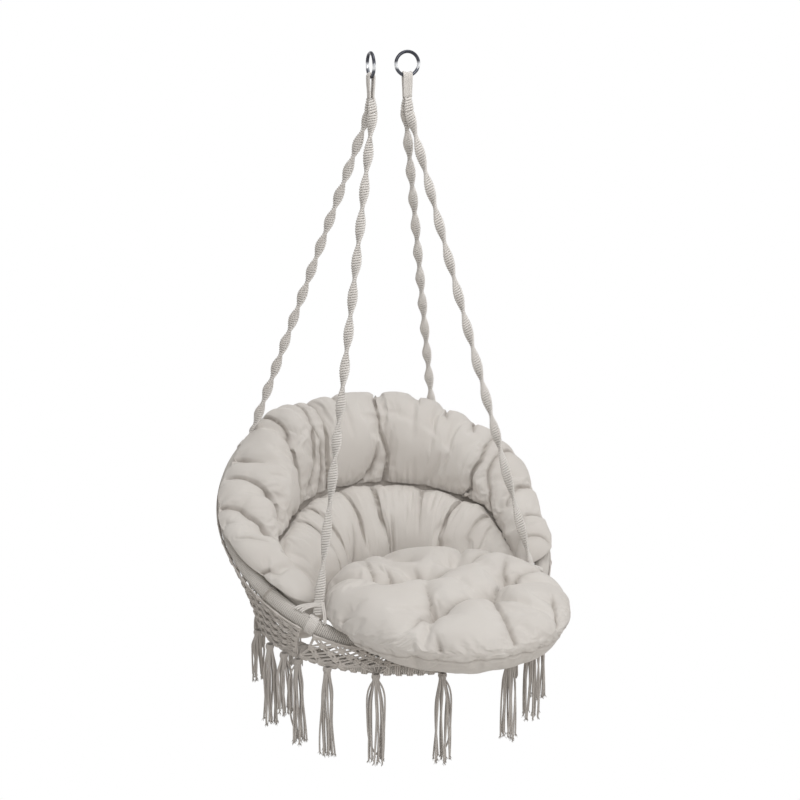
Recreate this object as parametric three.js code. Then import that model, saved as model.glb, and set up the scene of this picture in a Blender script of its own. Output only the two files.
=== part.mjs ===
// Hanging chair: a large leaning hoop and a lower seat hoop, both bound with cord, hang on four
// knotted ropes from two rings. Nets join the hoops and floor the seat, tassels hang round the
// seat hoop, and a tufted seat cushion and a two-tier back cushion lie inside.
// Lengths are millimetres, +Z is up and the chair faces -Y, with +X to the right seen from the front.
// The origin lies midway between the two hooks, at the height where the rings rest on them.
import * as THREE from 'three';

// Clearances
const touchGap = 0.3; // between two pieces that touch
const hoopFitGap = 2; // between a hoop's winding and a net that follows it in straight pieces

// Hanging rings and the rope eyes on them
const hookDistance = 90;
const ringOuterDiameter = 60;
const ringWireDiameter = 7.5;
const ringTurnDegrees = -10; // how far both rings are turned about the vertical
const ringStations = 20;
const wireSides = 6;
const eyeWidth = 20;
const eyeStrapThickness = 5.5;
const eyeLength = 46; // from the wire's middle down to the flat end of the neck
const eyeNeckThickness = 13;
const arcSteps = 7; // in each half circle of an eye or a split knot

// Split knots, which turn below the eyes and let the chair swing
const splitKnotRadius = 14;
const splitKnotLength = 30;
const splitKnotBaseWidth = 33;
const splitKnotDrop = 18; // from the hinge line down to the flat base

// Ropes: flat knotted bands, twisted along their length
const ropeWidth = 24;
const ropeThickness = 10;
const ropeStartOffset = 9.5; // front and rear rope leave the split knot this far from its middle
const halfTwistLength = 65;
const stationsPerHalfTwist = 3;
const frontFlatLength = 300; // the lowest stretch of a front rope hangs flat
const rearFlatLength = 40;

// Large hoop, low at the front and high at the back
const backHoopDiameter = 764; // of the tube's middle line
const backHoopTubeDiameter = 28;
const backHoopLeanDegrees = 31.5;
const backHoopDrop = 1086; // hooks to the hoop's middle
const backHoopSetback = 17.4; // puts the chair's centre of mass below the hooks

// Seat hoop
const seatHoopDiameter = 616;
const seatHoopTubeDiameter = 22;
const seatHoopLeanDegrees = 2;
const seatHoopFrontDrop = 6.4; // its middle plane lies this far below the large hoop's front
const seatHoopFrontLead = 36.3; // its front lies this far ahead of the large hoop's front

// Winding on both hoops, and the knots, ties and lashing on it
const tubeWall = 1.5;
const windingThickness = 4;
const hoopSlit = 1; // where the two ends of a tube or a winding meet, under a hitch
const hoopStations = 40;
const tubeSides = 6;
const windingSides = 8;
const sleeveSides = 10;
const hitchWidth = 26;
const hitchThickness = 6;
const tieWidth = 7;
const tieThickness = 3;
const tieMarginDegrees = 4; // between a tie's ends and the net
const tieSteps = 9;
const frontHitchDegrees = 40.5; // from the hoop's side towards the front
const rearHitchDegrees = 49.5; // from the hoop's side towards the back
const tieDegrees = [-22.5, 22.5];

// Nets
const netThickness = 4;
const hitchNetGap = 1.2; // beside a hitch
const panelSeamWidth = 2; // between two panels at the seat hoop
const knotShare = 0.2; // a knot's half size, as a share of its cell
const borderShare = 0.3; // a border cord's width, as a share of a cell
const sidePanelCells = [10, 6];
const backPanelCells = [8, 8];
const frontPanelCells = [14, 2];
const pointWidth = 40; // of a net point that carries a tassel, where it leaves its panel
const pointTipWidth = 9;
const pointSteps = 4;
const seatNetSpokes = 16;
const seatNetRings = 3;
const seatNetCordWidth = 12;
const seatNetHubRadius = 22;
const seatNetDrop = 11; // below the seat hoop's middle plane, clear of the large hoop's front

// Tassels
const tasselKnotRadius = 9;
const tasselNeckRadius = 7;
const tasselSkirtRadius = 13;
const tasselTipRadius = 15;
const tasselSides = 7;
const knotProfileDegrees = [55, 20, -15]; // above level, at the points of its round outline
const tasselFullShare = 0.3; // of its length, where the skirt is full
const tasselFlareShare = 0.85; // where the tips begin to spread
const tasselHangDegrees = -12; // the knot's direction from the hoop's middle line, from level
const tasselDegrees = [4, 30, 56, 82, 112, 143, 168, 183, 193.5, 201.6, 215.8, 235, 260, 291.5, 310, 336];
// Knot's middle to the tips, in the same order
const tasselLengths = [225, 208, 208, 208, 225, 99, 112, 188, 135, 195, 202, 205, 204, 197, 187, 206];

// Seat cushion
const seatCushionHalfWidth = 270;
const seatCushionHalfDepth = 292;
const seatCushionOverhang = 259; // its front edge lies this far ahead of the large hoop's front
const seatCushionRise = 64; // seam to crown
const seatCushionDrop = 70; // seam to underside
const seatRestGap = 1.1; // under it, above the large hoop and the net over that
const sagRun = 130; // behind the large hoop's front, until the underside meets the seat net
const seatCushionColumns = 48;
const crownPower = 2.6; // how square the cushion's section is
const underPower = 0.78; // how fast the underside narrows between the hoop's sides
const foldFadePower = 6; // how late a fold fades towards the seam
const topRingShares = [0.16, 0.33, 0.5, 0.64, 0.77, 0.88, 0.96];
const bottomRingShares = [0.1, 0.3, 0.55, 0.78, 0.93];
const restStepDegrees = 1.5; // when the cushion's rest on the hoop is found
const restShares = [0, 0.1, 0.2, 0.3, 0.4, 0.5, 0.6, 0.7, 0.8, 0.9, 1]; // down the net
const restDegrees = [0, 22.5, 45, 67.5, 90, 112.5, 135, 157.5, 180]; // round the hoop's upper side
const tuftDepth = 27;
const tuftSpread = 34;
const foldDepth = 13;
const foldSpread = 17;
// Tufts, as shares of the half width and half depth from the cushion's middle
const tuftShares = [
  [-0.36, 0.22], [-0.1, 0.2], [-0.33, -0.4], [0.51, -0.14],
  [0.21, -0.33], [0.3, 0.36], [-0.05, 0.62],
];

// Back cushion, a horseshoe of two tiers that leans inside the large hoop
const backCushionRise = 58; // top above the large hoop's middle line
const armRise = 12; // by which the arms' ends stand higher
const upperTierDepth = 124;
const lowerTierDepth = 200;
const backBulge = 8; // the rear face swells this far between the hoops
const creaseDrop = 150; // crease below the large hoop's middle line, at the back
const armCreaseDrop = 4; // and at the arms
const lipReach = 44; // the top folds outwards this far over the large hoop
const lipLift = 27; // from the hoop's middle line to the lip's underside
const lipSlope = 12; // height over which the fold starts
const hitchLipShare = 0.5; // of the lip, beside a rear rope's hitch
const lowestCreaseShare = 0.15; // of the cushion's height, below which the crease doesn't go
const seatEdgeInset = 6; // of the rear face at the seat hoop, from that hoop's middle line
const armLowShare = 0.1; // how far the arms' ends reach down the wall
const armEndGap = 2; // between an arm's end and the front rope
const armEndRounding = 52;
const channelDepth = 14;
const channelTopDip = 11;
const channelSpread = 20; // half width of a channel along the hoop
// Sewn channels, as angles on the large hoop
const channelDegrees = [-22, 0, 19, 31, 43, 55, 71, 92, 103, 117, 131, 149, 167, 186, 205];
const backCushionStations = 58;
const tierRoundness = 0.88; // 1 is an ellipse, less is squarer
const tierOverlapShare = 0.03; // of the height, by which the two tiers run into each other
const upperTierSteps = 9;
const lowerTierSteps = 8;
const creaseDegrees = 58; // below level, where each tier's round ends in the crease
const armTipShare = 0.35; // size of an arm's last section
const halvings = 40; // when an angle is found by halving

const radians = (degrees) => (degrees * Math.PI) / 180;
const vector = (x, y, z) => new THREE.Vector3(x, y, z);

const materials = {
  chrome: new THREE.MeshStandardMaterial({ color: 0x9a9a9c, roughness: 0.18, metalness: 1 }),
  steel: new THREE.MeshStandardMaterial({ color: 0x77777a, roughness: 0.45, metalness: 0.9 }),
  cord: new THREE.MeshStandardMaterial({ color: 0xb8b0a8, roughness: 0.9, metalness: 0 }),
  cloth: new THREE.MeshStandardMaterial({ color: 0xd3cec8, roughness: 0.95, metalness: 0 }),
};

// One closed body from points and triangles, turned so that its faces look outwards.
function bodyGeometry(points, triangles) {
  let volume = 0;
  for (const [a, b, c] of triangles) {
    volume += points[a].dot(vector(0, 0, 0).crossVectors(points[b], points[c]));
  }
  const order = volume < 0 ? ([a, b, c]) => [a, c, b] : (triangle) => triangle;
  const geometry = new THREE.BufferGeometry();
  geometry.setAttribute('position', new THREE.Float32BufferAttribute(points.flatMap((p) => p.toArray()), 3));
  geometry.setIndex(triangles.flatMap(order));
  const flat = geometry.toNonIndexed();
  flat.computeVertexNormals();
  return flat;
}

// A skin through rings of equal count, open at both ends.
function skinTriangles(ringCount, sides, first = 0) {
  const triangles = [];
  for (let ring = 0; ring < ringCount - 1; ring += 1) {
    const next = ring + 1;
    for (let side = 0; side < sides; side += 1) {
      const after = (side + 1) % sides;
      const a = first + ring * sides + side;
      const b = first + ring * sides + after;
      const c = first + next * sides + after;
      const d = first + next * sides + side;
      triangles.push([a, b, c], [a, c, d]);
    }
  }
  return triangles;
}

// A solid through rings, with a fan from the middle of each end ring.
function loft(rings) {
  const sides = rings[0].length;
  const points = rings.flat();
  const triangles = skinTriangles(rings.length, sides);
  const ends = [[rings[0], 0, false], [rings[rings.length - 1], (rings.length - 1) * sides, true]];
  for (const [ring, first, last] of ends) {
    const middle = points.length;
    points.push(ring.reduce((sum, p) => sum.add(p), vector(0, 0, 0)).divideScalar(sides));
    for (let side = 0; side < sides; side += 1) {
      const a = first + side;
      const b = first + ((side + 1) % sides);
      triangles.push(last ? [a, b, middle] : [b, a, middle]);
    }
  }
  return bodyGeometry(points, triangles);
}

// A sleeve between an outer and an inner skin, closed at both ends by a flat band.
function sleeve(outerRings, innerRings) {
  const outerSides = outerRings[0].length;
  const innerSides = innerRings[0].length;
  const innerFirst = outerRings.length * outerSides;
  const points = [...outerRings.flat(), ...innerRings.flat()];
  const triangles = [
    ...skinTriangles(outerRings.length, outerSides),
    ...skinTriangles(innerRings.length, innerSides, innerFirst).map(([a, b, c]) => [a, c, b]),
  ];
  for (const last of [false, true]) {
    const ring = last ? outerRings.length - 1 : 0;
    const [outerStart, innerStart] = [ring * outerSides, innerFirst + ring * innerSides];
    triangles.push(...endBand(points, outerStart, outerSides, innerStart, innerSides, last));
  }
  return bodyGeometry(points, triangles);
}

// Triangles of the flat band between an outer polygon and an inner one.
function endBand(points, outerFirst, outerSides, innerFirst, innerSides, last) {
  const outer = points.slice(outerFirst, outerFirst + outerSides);
  const inner = points.slice(innerFirst, innerFirst + innerSides);
  const centre = outer.reduce((sum, p) => sum.add(p), vector(0, 0, 0)).divideScalar(outerSides);
  const across = outer[0].clone().sub(centre).normalize();
  const normal = vector(0, 0, 0).crossVectors(across, outer[1].clone().sub(centre)).normalize();
  const upward = vector(0, 0, 0).crossVectors(normal, across);
  const flatten = (p) => {
    const arm = p.clone().sub(centre);
    return new THREE.Vector2(arm.dot(across), arm.dot(upward));
  };
  const faces = THREE.ShapeUtils.triangulateShape(outer.map(flatten), [inner.map(flatten)]);
  const place = (index) => (index < outerSides ? outerFirst + index : innerFirst + index - outerSides);
  return faces.map((face) => {
    const [a, b, c] = face.map(place);
    return last ? [a, b, c] : [a, c, b];
  });
}

// A slab from a flat pattern: the same triangles on an inner and an outer face, with walls
// along every edge that only one triangle uses.
function slab(innerPoints, outerPoints, faces) {
  const count = innerPoints.length;
  const points = [...innerPoints, ...outerPoints];
  const triangles = [];
  const used = new Map();
  for (const [a, b, c] of faces) {
    triangles.push([a, b, c], [a + count, c + count, b + count]);
    for (const [from, to] of [[a, b], [b, c], [c, a]]) {
      used.set(`${from}_${to}`, [from, to]);
    }
  }
  for (const [from, to] of used.values()) {
    if (!used.has(`${to}_${from}`)) {
      triangles.push([to, from, from + count], [to, from + count, to + count]);
    }
  }
  return bodyGeometry(points, triangles);
}

// A polygon of the given radius round a point, in the plane of two directions.
function polygonRing(centre, across, upward, radius, sides, turn = 0) {
  const ring = [];
  for (let side = 0; side < sides; side += 1) {
    const angle = turn + (side / sides) * Math.PI * 2;
    ring.push(
      centre
        .clone()
        .addScaledVector(across, radius * Math.cos(angle))
        .addScaledVector(upward, radius * Math.sin(angle)),
    );
  }
  return ring;
}

const mixPoints = (a, b, share) => a.clone().lerp(b, share);
const mix = (a, b, share) => a + (b - a) * share;
const smooth = (share) => {
  const held = Math.min(1, Math.max(0, share));
  return held * held * (3 - 2 * held);
};

// Hoops. Angle 0 is the chair's right side, 90 degrees its back, 270 degrees its front.
const backHoopMiddle = vector(0, backHoopSetback, -backHoopDrop);
const backHoopLean = radians(backHoopLeanDegrees);
const backHoopFront = vector(0, -Math.cos(backHoopLean), -Math.sin(backHoopLean))
  .multiplyScalar(backHoopDiameter / 2)
  .add(backHoopMiddle);
const seatHoopY = backHoopFront.y - seatHoopFrontLead + seatHoopDiameter / 2;
const seatHoopMiddle = vector(0, seatHoopY, backHoopFront.z - seatHoopFrontDrop);

function makeHoop(middle, diameter, tubeDiameter, leanDegrees) {
  const lean = radians(leanDegrees);
  const tubeRadius = tubeDiameter / 2;
  const boreRadius = tubeRadius + touchGap / Math.cos(Math.PI / tubeSides);
  return {
    middle,
    radius: diameter / 2,
    tubeRadius,
    boreRadius,
    windingRadius: boreRadius + windingThickness,
    axis: vector(0, -Math.sin(lean), Math.cos(lean)),
    outward: (degrees) => {
      const angle = radians(degrees);
      return vector(Math.cos(angle), Math.sin(angle) * Math.cos(lean), Math.sin(angle) * Math.sin(lean));
    },
  };
}

const backHoop = makeHoop(backHoopMiddle, backHoopDiameter, backHoopTubeDiameter, backHoopLeanDegrees);
const seatHoop = makeHoop(seatHoopMiddle, seatHoopDiameter, seatHoopTubeDiameter, seatHoopLeanDegrees);
const stationDegrees = 360 / hoopStations;

const trueHoopPoint = (hoop, degrees) => hoop.middle
  .clone()
  .addScaledVector(hoop.outward(degrees), hoop.radius);

// The hoops are made of straight pieces, so a place on one lies on the straight line between
// two stations, and its directions are those of that straight piece.
function hoopPlace(hoop, degrees) {
  const before = Math.floor(degrees / stationDegrees) * stationDegrees;
  const start = trueHoopPoint(hoop, before);
  const end = trueHoopPoint(hoop, before + stationDegrees);
  return {
    point: mixPoints(start, end, (degrees - before) / stationDegrees),
    along: end.clone().sub(start).normalize(),
    outward: hoop.outward(before + stationDegrees / 2),
    axis: hoop.axis,
  };
}

function hoopRing(hoop, degrees, radius, sides) {
  return polygonRing(trueHoopPoint(hoop, degrees), hoop.outward(degrees), hoop.axis, radius, sides);
}

// A hollow hoop: a sleeve whose two ends leave a narrow slit under the front left hitch.
function splitHoop(hoop, slitDegrees, [outerRadius, outerSides], [boreRadius, boreSides]) {
  const before = Math.floor(slitDegrees / stationDegrees);
  const chord = 2 * hoop.radius * Math.sin(radians(stationDegrees) / 2);
  const slitShare = hoopSlit / chord / 2;
  const middleShare = slitDegrees / stationDegrees - before;
  const skin = (radius, sides) => {
    const start = hoopRing(hoop, before * stationDegrees, radius, sides);
    const end = hoopRing(hoop, (before + 1) * stationDegrees, radius, sides);
    const between = (share) => start.map((p, index) => mixPoints(p, end[index], share));
    const rings = [between(middleShare + slitShare)];
    for (let step = 1; step <= hoopStations; step += 1) {
      rings.push(hoopRing(hoop, (before + step) * stationDegrees, radius, sides));
    }
    rings.push(between(middleShare - slitShare));
    return rings;
  };
  return sleeve(skin(outerRadius, outerSides), skin(boreRadius, boreSides));
}

function hoopTube(hoop, slitDegrees) {
  return splitHoop(hoop, slitDegrees, [hoop.tubeRadius, tubeSides], [hoop.tubeRadius - tubeWall, tubeSides]);
}

function hoopWinding(hoop, slitDegrees) {
  return splitHoop(hoop, slitDegrees, [hoop.windingRadius, windingSides], [hoop.boreRadius, tubeSides]);
}

// A short sleeve round a bound hoop: a rope's hitch.
function hoopSleeve(hoop, degrees, width, thickness) {
  const place = hoopPlace(hoop, degrees);
  const innerRadius = (hoop.windingRadius + touchGap) / Math.cos(Math.PI / sleeveSides);
  const { point, along, outward, axis } = place;
  const ends = [-width / 2, width / 2].map((offset) => point.clone().addScaledVector(along, offset));
  const ringAt = (end, radius) => polygonRing(end, outward, axis, radius, sleeveSides, Math.PI / 2);
  const rings = (radius) => ends.map((end) => ringAt(end, radius));
  return sleeve(rings(innerRadius + thickness), rings(innerRadius));
}

// A cushion's tie goes round the bound hoop from the net's upper edge over the inner side and
// ends below the hoop, where it meets the net from within.
function cushionTie(hoop, degrees) {
  const place = hoopPlace(hoop, degrees);
  const { outOfWall } = wallFrame(degrees);
  const netAngle = Math.atan2(outOfWall.dot(place.axis), outOfWall.dot(place.outward));
  const innerRadius = (hoop.windingRadius + touchGap) / Math.cos(Math.PI / sleeveSides);
  const outerRadius = innerRadius + tieThickness;
  const startAngle = netAngle + touchGap / innerRadius + radians(tieMarginDegrees);
  const underNet = Math.acos((hoop.windingRadius + hoopFitGap) / outerRadius);
  const endAngle = netAngle + Math.PI * 2 - underNet - radians(tieMarginDegrees);
  const rings = [];
  for (let step = 0; step <= tieSteps; step += 1) {
    const angle = mix(startAngle, endAngle, step / tieSteps);
    const direction = vector(0, 0, 0)
      .addScaledVector(place.outward, Math.cos(angle))
      .addScaledVector(place.axis, Math.sin(angle));
    rings.push([[innerRadius, 1], [outerRadius, 1], [outerRadius, -1], [innerRadius, -1]]
      .map(([radius, end]) => place.point
        .clone()
        .addScaledVector(direction, radius)
        .addScaledVector(place.along, (end * tieWidth) / 2)));
  }
  return loft(rings);
}

// Rings and rope eyes
const ringInnerRadius = ringOuterDiameter / 2 - ringWireDiameter;
const ringMiddleRadius = ringInnerRadius + ringWireDiameter / 2;
const wireLowDrop = ringInnerRadius + ringMiddleRadius; // hook seat to the wire's middle at the bottom

function hangingRing(side) {
  const geometry = new THREE.TorusGeometry(ringMiddleRadius, ringWireDiameter / 2, wireSides, ringStations);
  geometry.rotateX(Math.PI / 2);
  geometry.rotateZ(ringTurn(side));
  geometry.translate((side * hookDistance) / 2, 0, -ringInnerRadius);
  return geometry;
}

// The right ring faces the front; the left one is a quarter turn further round.
function ringTurn(side) {
  return radians(ringTurnDegrees) - (side < 0 ? Math.PI / 2 : 0);
}

// A strap round the ring's wire that ends in a flat neck. Its eye is taller than the wire,
// because the wire curves upwards across the strap's width.
function ropeEye(side) {
  const wireRadius = ringWireDiameter / 2;
  const eyeRadius = (wireRadius + touchGap) / Math.cos(Math.PI / wireSides);
  const curveRise = ringInnerRadius - Math.sqrt(ringInnerRadius ** 2 - (eyeWidth / 2) ** 2);
  const outerRadius = eyeRadius + eyeStrapThickness;
  const outline = new THREE.Shape();
  outline.moveTo(-eyeNeckThickness / 2, -eyeLength);
  outline.lineTo(eyeNeckThickness / 2, -eyeLength);
  outline.lineTo(eyeNeckThickness / 2, -2 * outerRadius);
  outline.absarc(0, curveRise, outerRadius, 0, Math.PI, false);
  outline.lineTo(-eyeNeckThickness / 2, -2 * outerRadius);
  outline.closePath();
  const hole = new THREE.Path();
  hole.absarc(0, curveRise, eyeRadius, 0, Math.PI, false);
  hole.absarc(0, 0, eyeRadius, Math.PI, Math.PI * 2, false);
  hole.closePath();
  outline.holes.push(hole);
  const straight = { depth: eyeWidth, bevelEnabled: false, curveSegments: arcSteps };
  const geometry = new THREE.ExtrudeGeometry(outline, straight);
  geometry.translate(0, 0, -eyeWidth / 2);
  geometry.rotateX(Math.PI / 2);
  geometry.rotateZ(Math.PI / 2 + ringTurn(side));
  geometry.translate((side * hookDistance) / 2, 0, -wireLowDrop);
  return geometry;
}

// Split knots: a round top about the hinge line and a flat base that the ropes leave
const hingeDrop = wireLowDrop + eyeLength + touchGap + splitKnotRadius;

function splitKnot(side) {
  const outline = new THREE.Shape();
  outline.moveTo(-splitKnotBaseWidth / 2, -splitKnotDrop);
  outline.lineTo(splitKnotBaseWidth / 2, -splitKnotDrop);
  outline.absarc(0, 0, splitKnotRadius, 0, Math.PI, false);
  outline.closePath();
  const straight = { depth: splitKnotLength, bevelEnabled: false, curveSegments: arcSteps };
  const geometry = new THREE.ExtrudeGeometry(outline, straight);
  geometry.translate(0, 0, -splitKnotLength / 2);
  geometry.rotateX(Math.PI / 2);
  geometry.rotateZ(Math.PI / 2);
  geometry.translate((side * hookDistance) / 2, 0, -hingeDrop);
  return geometry;
}

// The angle of a place on a hoop, for the right or left side and front or rear.
function sideDegrees(side, frontOrRearDegrees) {
  return side > 0 ? frontOrRearDegrees : 180 - frontOrRearDegrees;
}

const hitchDegrees = {
  frontRight: 360 - frontHitchDegrees,
  frontLeft: 180 + frontHitchDegrees,
  rearRight: rearHitchDegrees,
  rearLeft: 180 - rearHitchDegrees,
};

// A flat band that twists from the split knot down to its hitch. Its first section lies level
// under the knot, and its last lies along the hoop.
function rope(side, frontSign, degrees, flatLength) {
  const place = hoopPlace(backHoop, degrees);
  const topHeight = -hingeDrop - splitKnotDrop - touchGap;
  const top = vector((side * hookDistance) / 2, frontSign * ropeStartOffset, topHeight);
  const reach = hitchReach + touchGap;
  const towardsTop = top.clone().sub(place.point);
  towardsTop.addScaledVector(place.along, -towardsTop.dot(place.along)).normalize();
  const foot = place.point.clone().addScaledVector(towardsTop, reach);
  const down = foot.clone().sub(top);
  const length = down.length();
  down.normalize();
  const across = vector(1, 0, 0).addScaledVector(down, -down.x).normalize();
  const behind = vector(0, 0, 0).crossVectors(down, across);
  const endTurn = Math.atan2(place.along.dot(behind), place.along.dot(across));
  const twistLength = length - flatLength;
  const halfTwists = Math.round(twistLength / halfTwistLength);
  const steps = halfTwists * stationsPerHalfTwist;
  const turnAt = (share) => share * (halfTwists * Math.PI + endTurn);
  const section = (centre, wide, thin) => [
    [1, 1], [1, -1], [-1, -1], [-1, 1],
  ].map(([w, t]) => centre
    .clone()
    .addScaledVector(wide, (w * ropeWidth) / 2)
    .addScaledVector(thin, (t * ropeThickness) / 2));
  const rings = [section(top, vector(1, 0, 0), vector(0, -1, 0))];
  for (let step = 1; step <= steps; step += 1) {
    const share = step / steps;
    const turn = turnAt(share);
    const wide = across.clone().multiplyScalar(Math.cos(turn)).addScaledVector(behind, Math.sin(turn));
    const thin = vector(0, 0, 0).crossVectors(down, wide);
    rings.push(section(top.clone().addScaledVector(down, share * twistLength), wide, thin));
  }
  const last = rings[rings.length - 1];
  const sameWay = Math.sign(place.along.dot(last[0].clone().sub(last[3])));
  const endWide = place.along.clone().multiplyScalar(sameWay);
  const endThin = vector(0, 0, 0).crossVectors(towardsTop.clone().negate(), endWide);
  rings.push(section(foot, endWide, endThin));
  return loft(rings);
}

const hitchReach = (backHoop.windingRadius + touchGap) / Math.cos(Math.PI / sleeveSides) + hitchThickness;

// The angle on the seat hoop where a cord square to the large hoop comes down.
function seatDegreesBelow(degrees) {
  const along = trueAlong(backHoop, degrees);
  const across = along.dot(seatHoop.outward(0));
  const deep = along.dot(seatHoop.outward(90));
  const reach = along.dot(trueHoopPoint(backHoop, degrees).sub(seatHoop.middle)) / seatHoop.radius;
  const turned = degrees + 90 - (Math.acos(reach / Math.hypot(across, deep)) * 180) / Math.PI;
  const middleTurn = (Math.atan2(deep, across) * 180) / Math.PI - degrees - 90;
  return turned + middleTurn - Math.round(middleTurn / 360) * 360;
}

// Wall nets. The net lies outside both hoops like a belt: straight between them, on their
// outer sides, and a place on it is an angle and a share of the way down.
function wallFrame(degrees) {
  const large = hoopPlace(backHoop, degrees);
  const small = hoopPlace(seatHoop, seatDegreesBelow(degrees));
  const downwards = small.point.clone().sub(large.point).normalize();
  const outOfWall = vector(0, 0, 0).crossVectors(downwards, trueAlong(backHoop, degrees)).normalize();
  const seatAlong = trueAlong(seatHoop, seatDegreesBelow(degrees));
  const outOfSeat = outOfWall.clone().addScaledVector(seatAlong, -outOfWall.dot(seatAlong)).normalize();
  return { large, small, outOfWall, outOfSeat };
}

function trueAlong(hoop, degrees) {
  return vector(0, 0, 0).crossVectors(hoop.axis, hoop.outward(degrees)).normalize();
}

function wallPoint(degrees, share, lift) {
  const { large, small, outOfWall, outOfSeat } = wallFrame(degrees);
  const high = large.point.clone().addScaledVector(outOfWall, backHoop.windingRadius + hoopFitGap + lift);
  const low = small.point.clone().addScaledVector(outOfSeat, seatHoop.windingRadius + hoopFitGap + lift);
  return high.lerp(low, share);
}

// A net point wraps the seat hoop from the wall's lower edge towards its tassel. Its angle is
// one on the large hoop, like that of the wall above it.
function pointOnSeatHoop(degrees, share, lift) {
  const { small, outOfSeat } = wallFrame(degrees);
  const outward = seatHoop.outward(seatDegreesBelow(degrees));
  const edgeAngle = Math.atan2(outOfSeat.dot(seatHoop.axis), outOfSeat.dot(outward));
  const tipAngle = Math.min(radians(tasselHangDegrees), edgeAngle) - Math.abs(radians(tasselHangDegrees));
  const angle = mix(edgeAngle, tipAngle, share);
  return small.point
    .clone()
    .addScaledVector(outward, Math.cos(angle) * (seatHoop.windingRadius + hoopFitGap + lift))
    .addScaledVector(seatHoop.axis, Math.sin(angle) * (seatHoop.windingRadius + hoopFitGap + lift));
}

// A panel of knotted diamonds between two hitches, framed by border cords. Knots sit where
// the column and row numbers add up to an even number, and a diamond opens at each odd sum.
function netPanel(fromHitch, toHitch, [columns, rows]) {
  const marginAt = (hitch, v) => {
    const { large, small } = wallFrame(hitch);
    const past = v - hitchReach / large.point.distanceTo(small.point) - 1 / rows;
    const share = smooth(past / (1 - v + past));
    const atHitch = (hitchWidth / 2 + hitchNetGap) / backHoop.radius;
    const atSeam = panelSeamWidth / 2 / seatHoop.radius;
    return mix(atHitch, atSeam, share) * (180 / Math.PI);
  };
  const angleAt = (u, v) => mix(fromHitch + marginAt(fromHitch, v), toHitch - marginAt(toHitch, v), u);
  const places = [];
  const spots = new Map();
  const spot = (column, row) => {
    const key = `${column.toFixed(4)}_${row.toFixed(4)}`;
    if (!spots.has(key)) {
      spots.set(key, places.length);
      const v = (row + borderShare) / (rows + 2 * borderShare);
      const degrees = angleAt((column + borderShare) / (columns + 2 * borderShare), v);
      places.push([wallPoint(degrees, v, 0), wallPoint(degrees, v, netThickness)]);
    }
    return spots.get(key);
  };
  const faces = [];
  const quad = (a, b, c, d) => faces.push([a, b, c], [a, c, d]);
  const isKnot = (column, row) => (column + row) % 2 === 0;
  const east = (column, row) => spot(column < columns ? column + knotShare : column, row);
  const west = (column, row) => spot(column > 0 ? column - knotShare : column, row);
  const south = (column, row) => spot(column, row < rows ? row + knotShare : row);
  const north = (column, row) => spot(column, row > 0 ? row - knotShare : row);
  for (let row = 0; row <= rows; row += 1) {
    for (let column = 0; column <= columns; column += 1) {
      if (isKnot(column, row)) {
        addKnot(faces, [north, east, south, west].map((corner) => corner(column, row)));
      }
      if (row < rows && column < columns && isKnot(column, row)) {
        quad(east(column, row), south(column, row), west(column + 1, row + 1), north(column + 1, row + 1));
      }
      if (row < rows && column < columns && !isKnot(column, row)) {
        quad(south(column + 1, row), west(column + 1, row), north(column, row + 1), east(column, row + 1));
      }
    }
  }
  addNetBorder(faces, spot, { east, west, south, north, isKnot }, columns, rows);
  const edgeDegrees = (column) => angleAt((column + borderShare) / (columns + 2 * borderShare), 1);
  addNetPoints(faces, places, spot, edgeDegrees, columns, rows);
  return slab(places.map(([inner]) => inner), places.map(([, outer]) => outer), faces);
}

// A knot is the patch between the tips of the four openings round it.
function addKnot(faces, corners) {
  const ring = corners.filter((corner, index) => corners.indexOf(corner) === index);
  for (let index = 1; index < ring.length - 1; index += 1) {
    faces.push([ring[0], ring[index + 1], ring[index]]);
  }
}

// Border cords along the four edges of a panel.
function addNetBorder(faces, spot, { east, west, south, north, isKnot }, columns, rows) {
  const strip = (outerFrom, outerTo, innerChain) => {
    faces.push([outerFrom, innerChain[0], outerTo]);
    for (let index = 0; index < innerChain.length - 1; index += 1) {
      faces.push([innerChain[index], innerChain[index + 1], outerTo]);
    }
  };
  const chain = (list) => list.filter((item, index) => list.indexOf(item) === index);
  for (let column = 0; column < columns; column += 1) {
    const topChain = isKnot(column, 0)
      ? [spot(column, 0), east(column, 0), spot(column + 1, 0)]
      : [spot(column, 0), west(column + 1, 0), spot(column + 1, 0)];
    strip(spot(column, -borderShare), spot(column + 1, -borderShare), chain(topChain));
    const lowChain = isKnot(column + 1, rows)
      ? [spot(column + 1, rows), west(column + 1, rows), spot(column, rows)]
      : [spot(column + 1, rows), east(column, rows), spot(column, rows)];
    strip(spot(column + 1, rows + borderShare), spot(column, rows + borderShare), chain(lowChain));
  }
  for (let row = 0; row < rows; row += 1) {
    const leftChain = isKnot(0, row + 1)
      ? [spot(0, row + 1), north(0, row + 1), spot(0, row)]
      : [spot(0, row + 1), south(0, row), spot(0, row)];
    strip(spot(-borderShare, row + 1), spot(-borderShare, row), chain(leftChain));
    const rightChain = isKnot(columns, row)
      ? [spot(columns, row), south(columns, row), spot(columns, row + 1)]
      : [spot(columns, row), north(columns, row + 1), spot(columns, row + 1)];
    strip(spot(columns + borderShare, row), spot(columns + borderShare, row + 1), chain(rightChain));
  }
  const corners = [
    [0, 0, -borderShare, -borderShare], [columns, 0, columns + borderShare, -borderShare],
    [columns, rows, columns + borderShare, rows + borderShare], [0, rows, -borderShare, rows + borderShare],
  ];
  for (const [column, row, outColumn, outRow] of corners) {
    const alongRow = spot(outColumn, row);
    const alongColumn = spot(column, outRow);
    const turnsOver = (outColumn < 0) === (outRow < 0);
    const [inner, outer] = [spot(column, row), spot(outColumn, outRow)];
    const patch = [[inner, alongColumn, outer], [inner, outer, alongRow]];
    faces.push(...patch.map(([a, b, c]) => (turnsOver ? [a, b, c] : [a, c, b])));
  }
}

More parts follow.
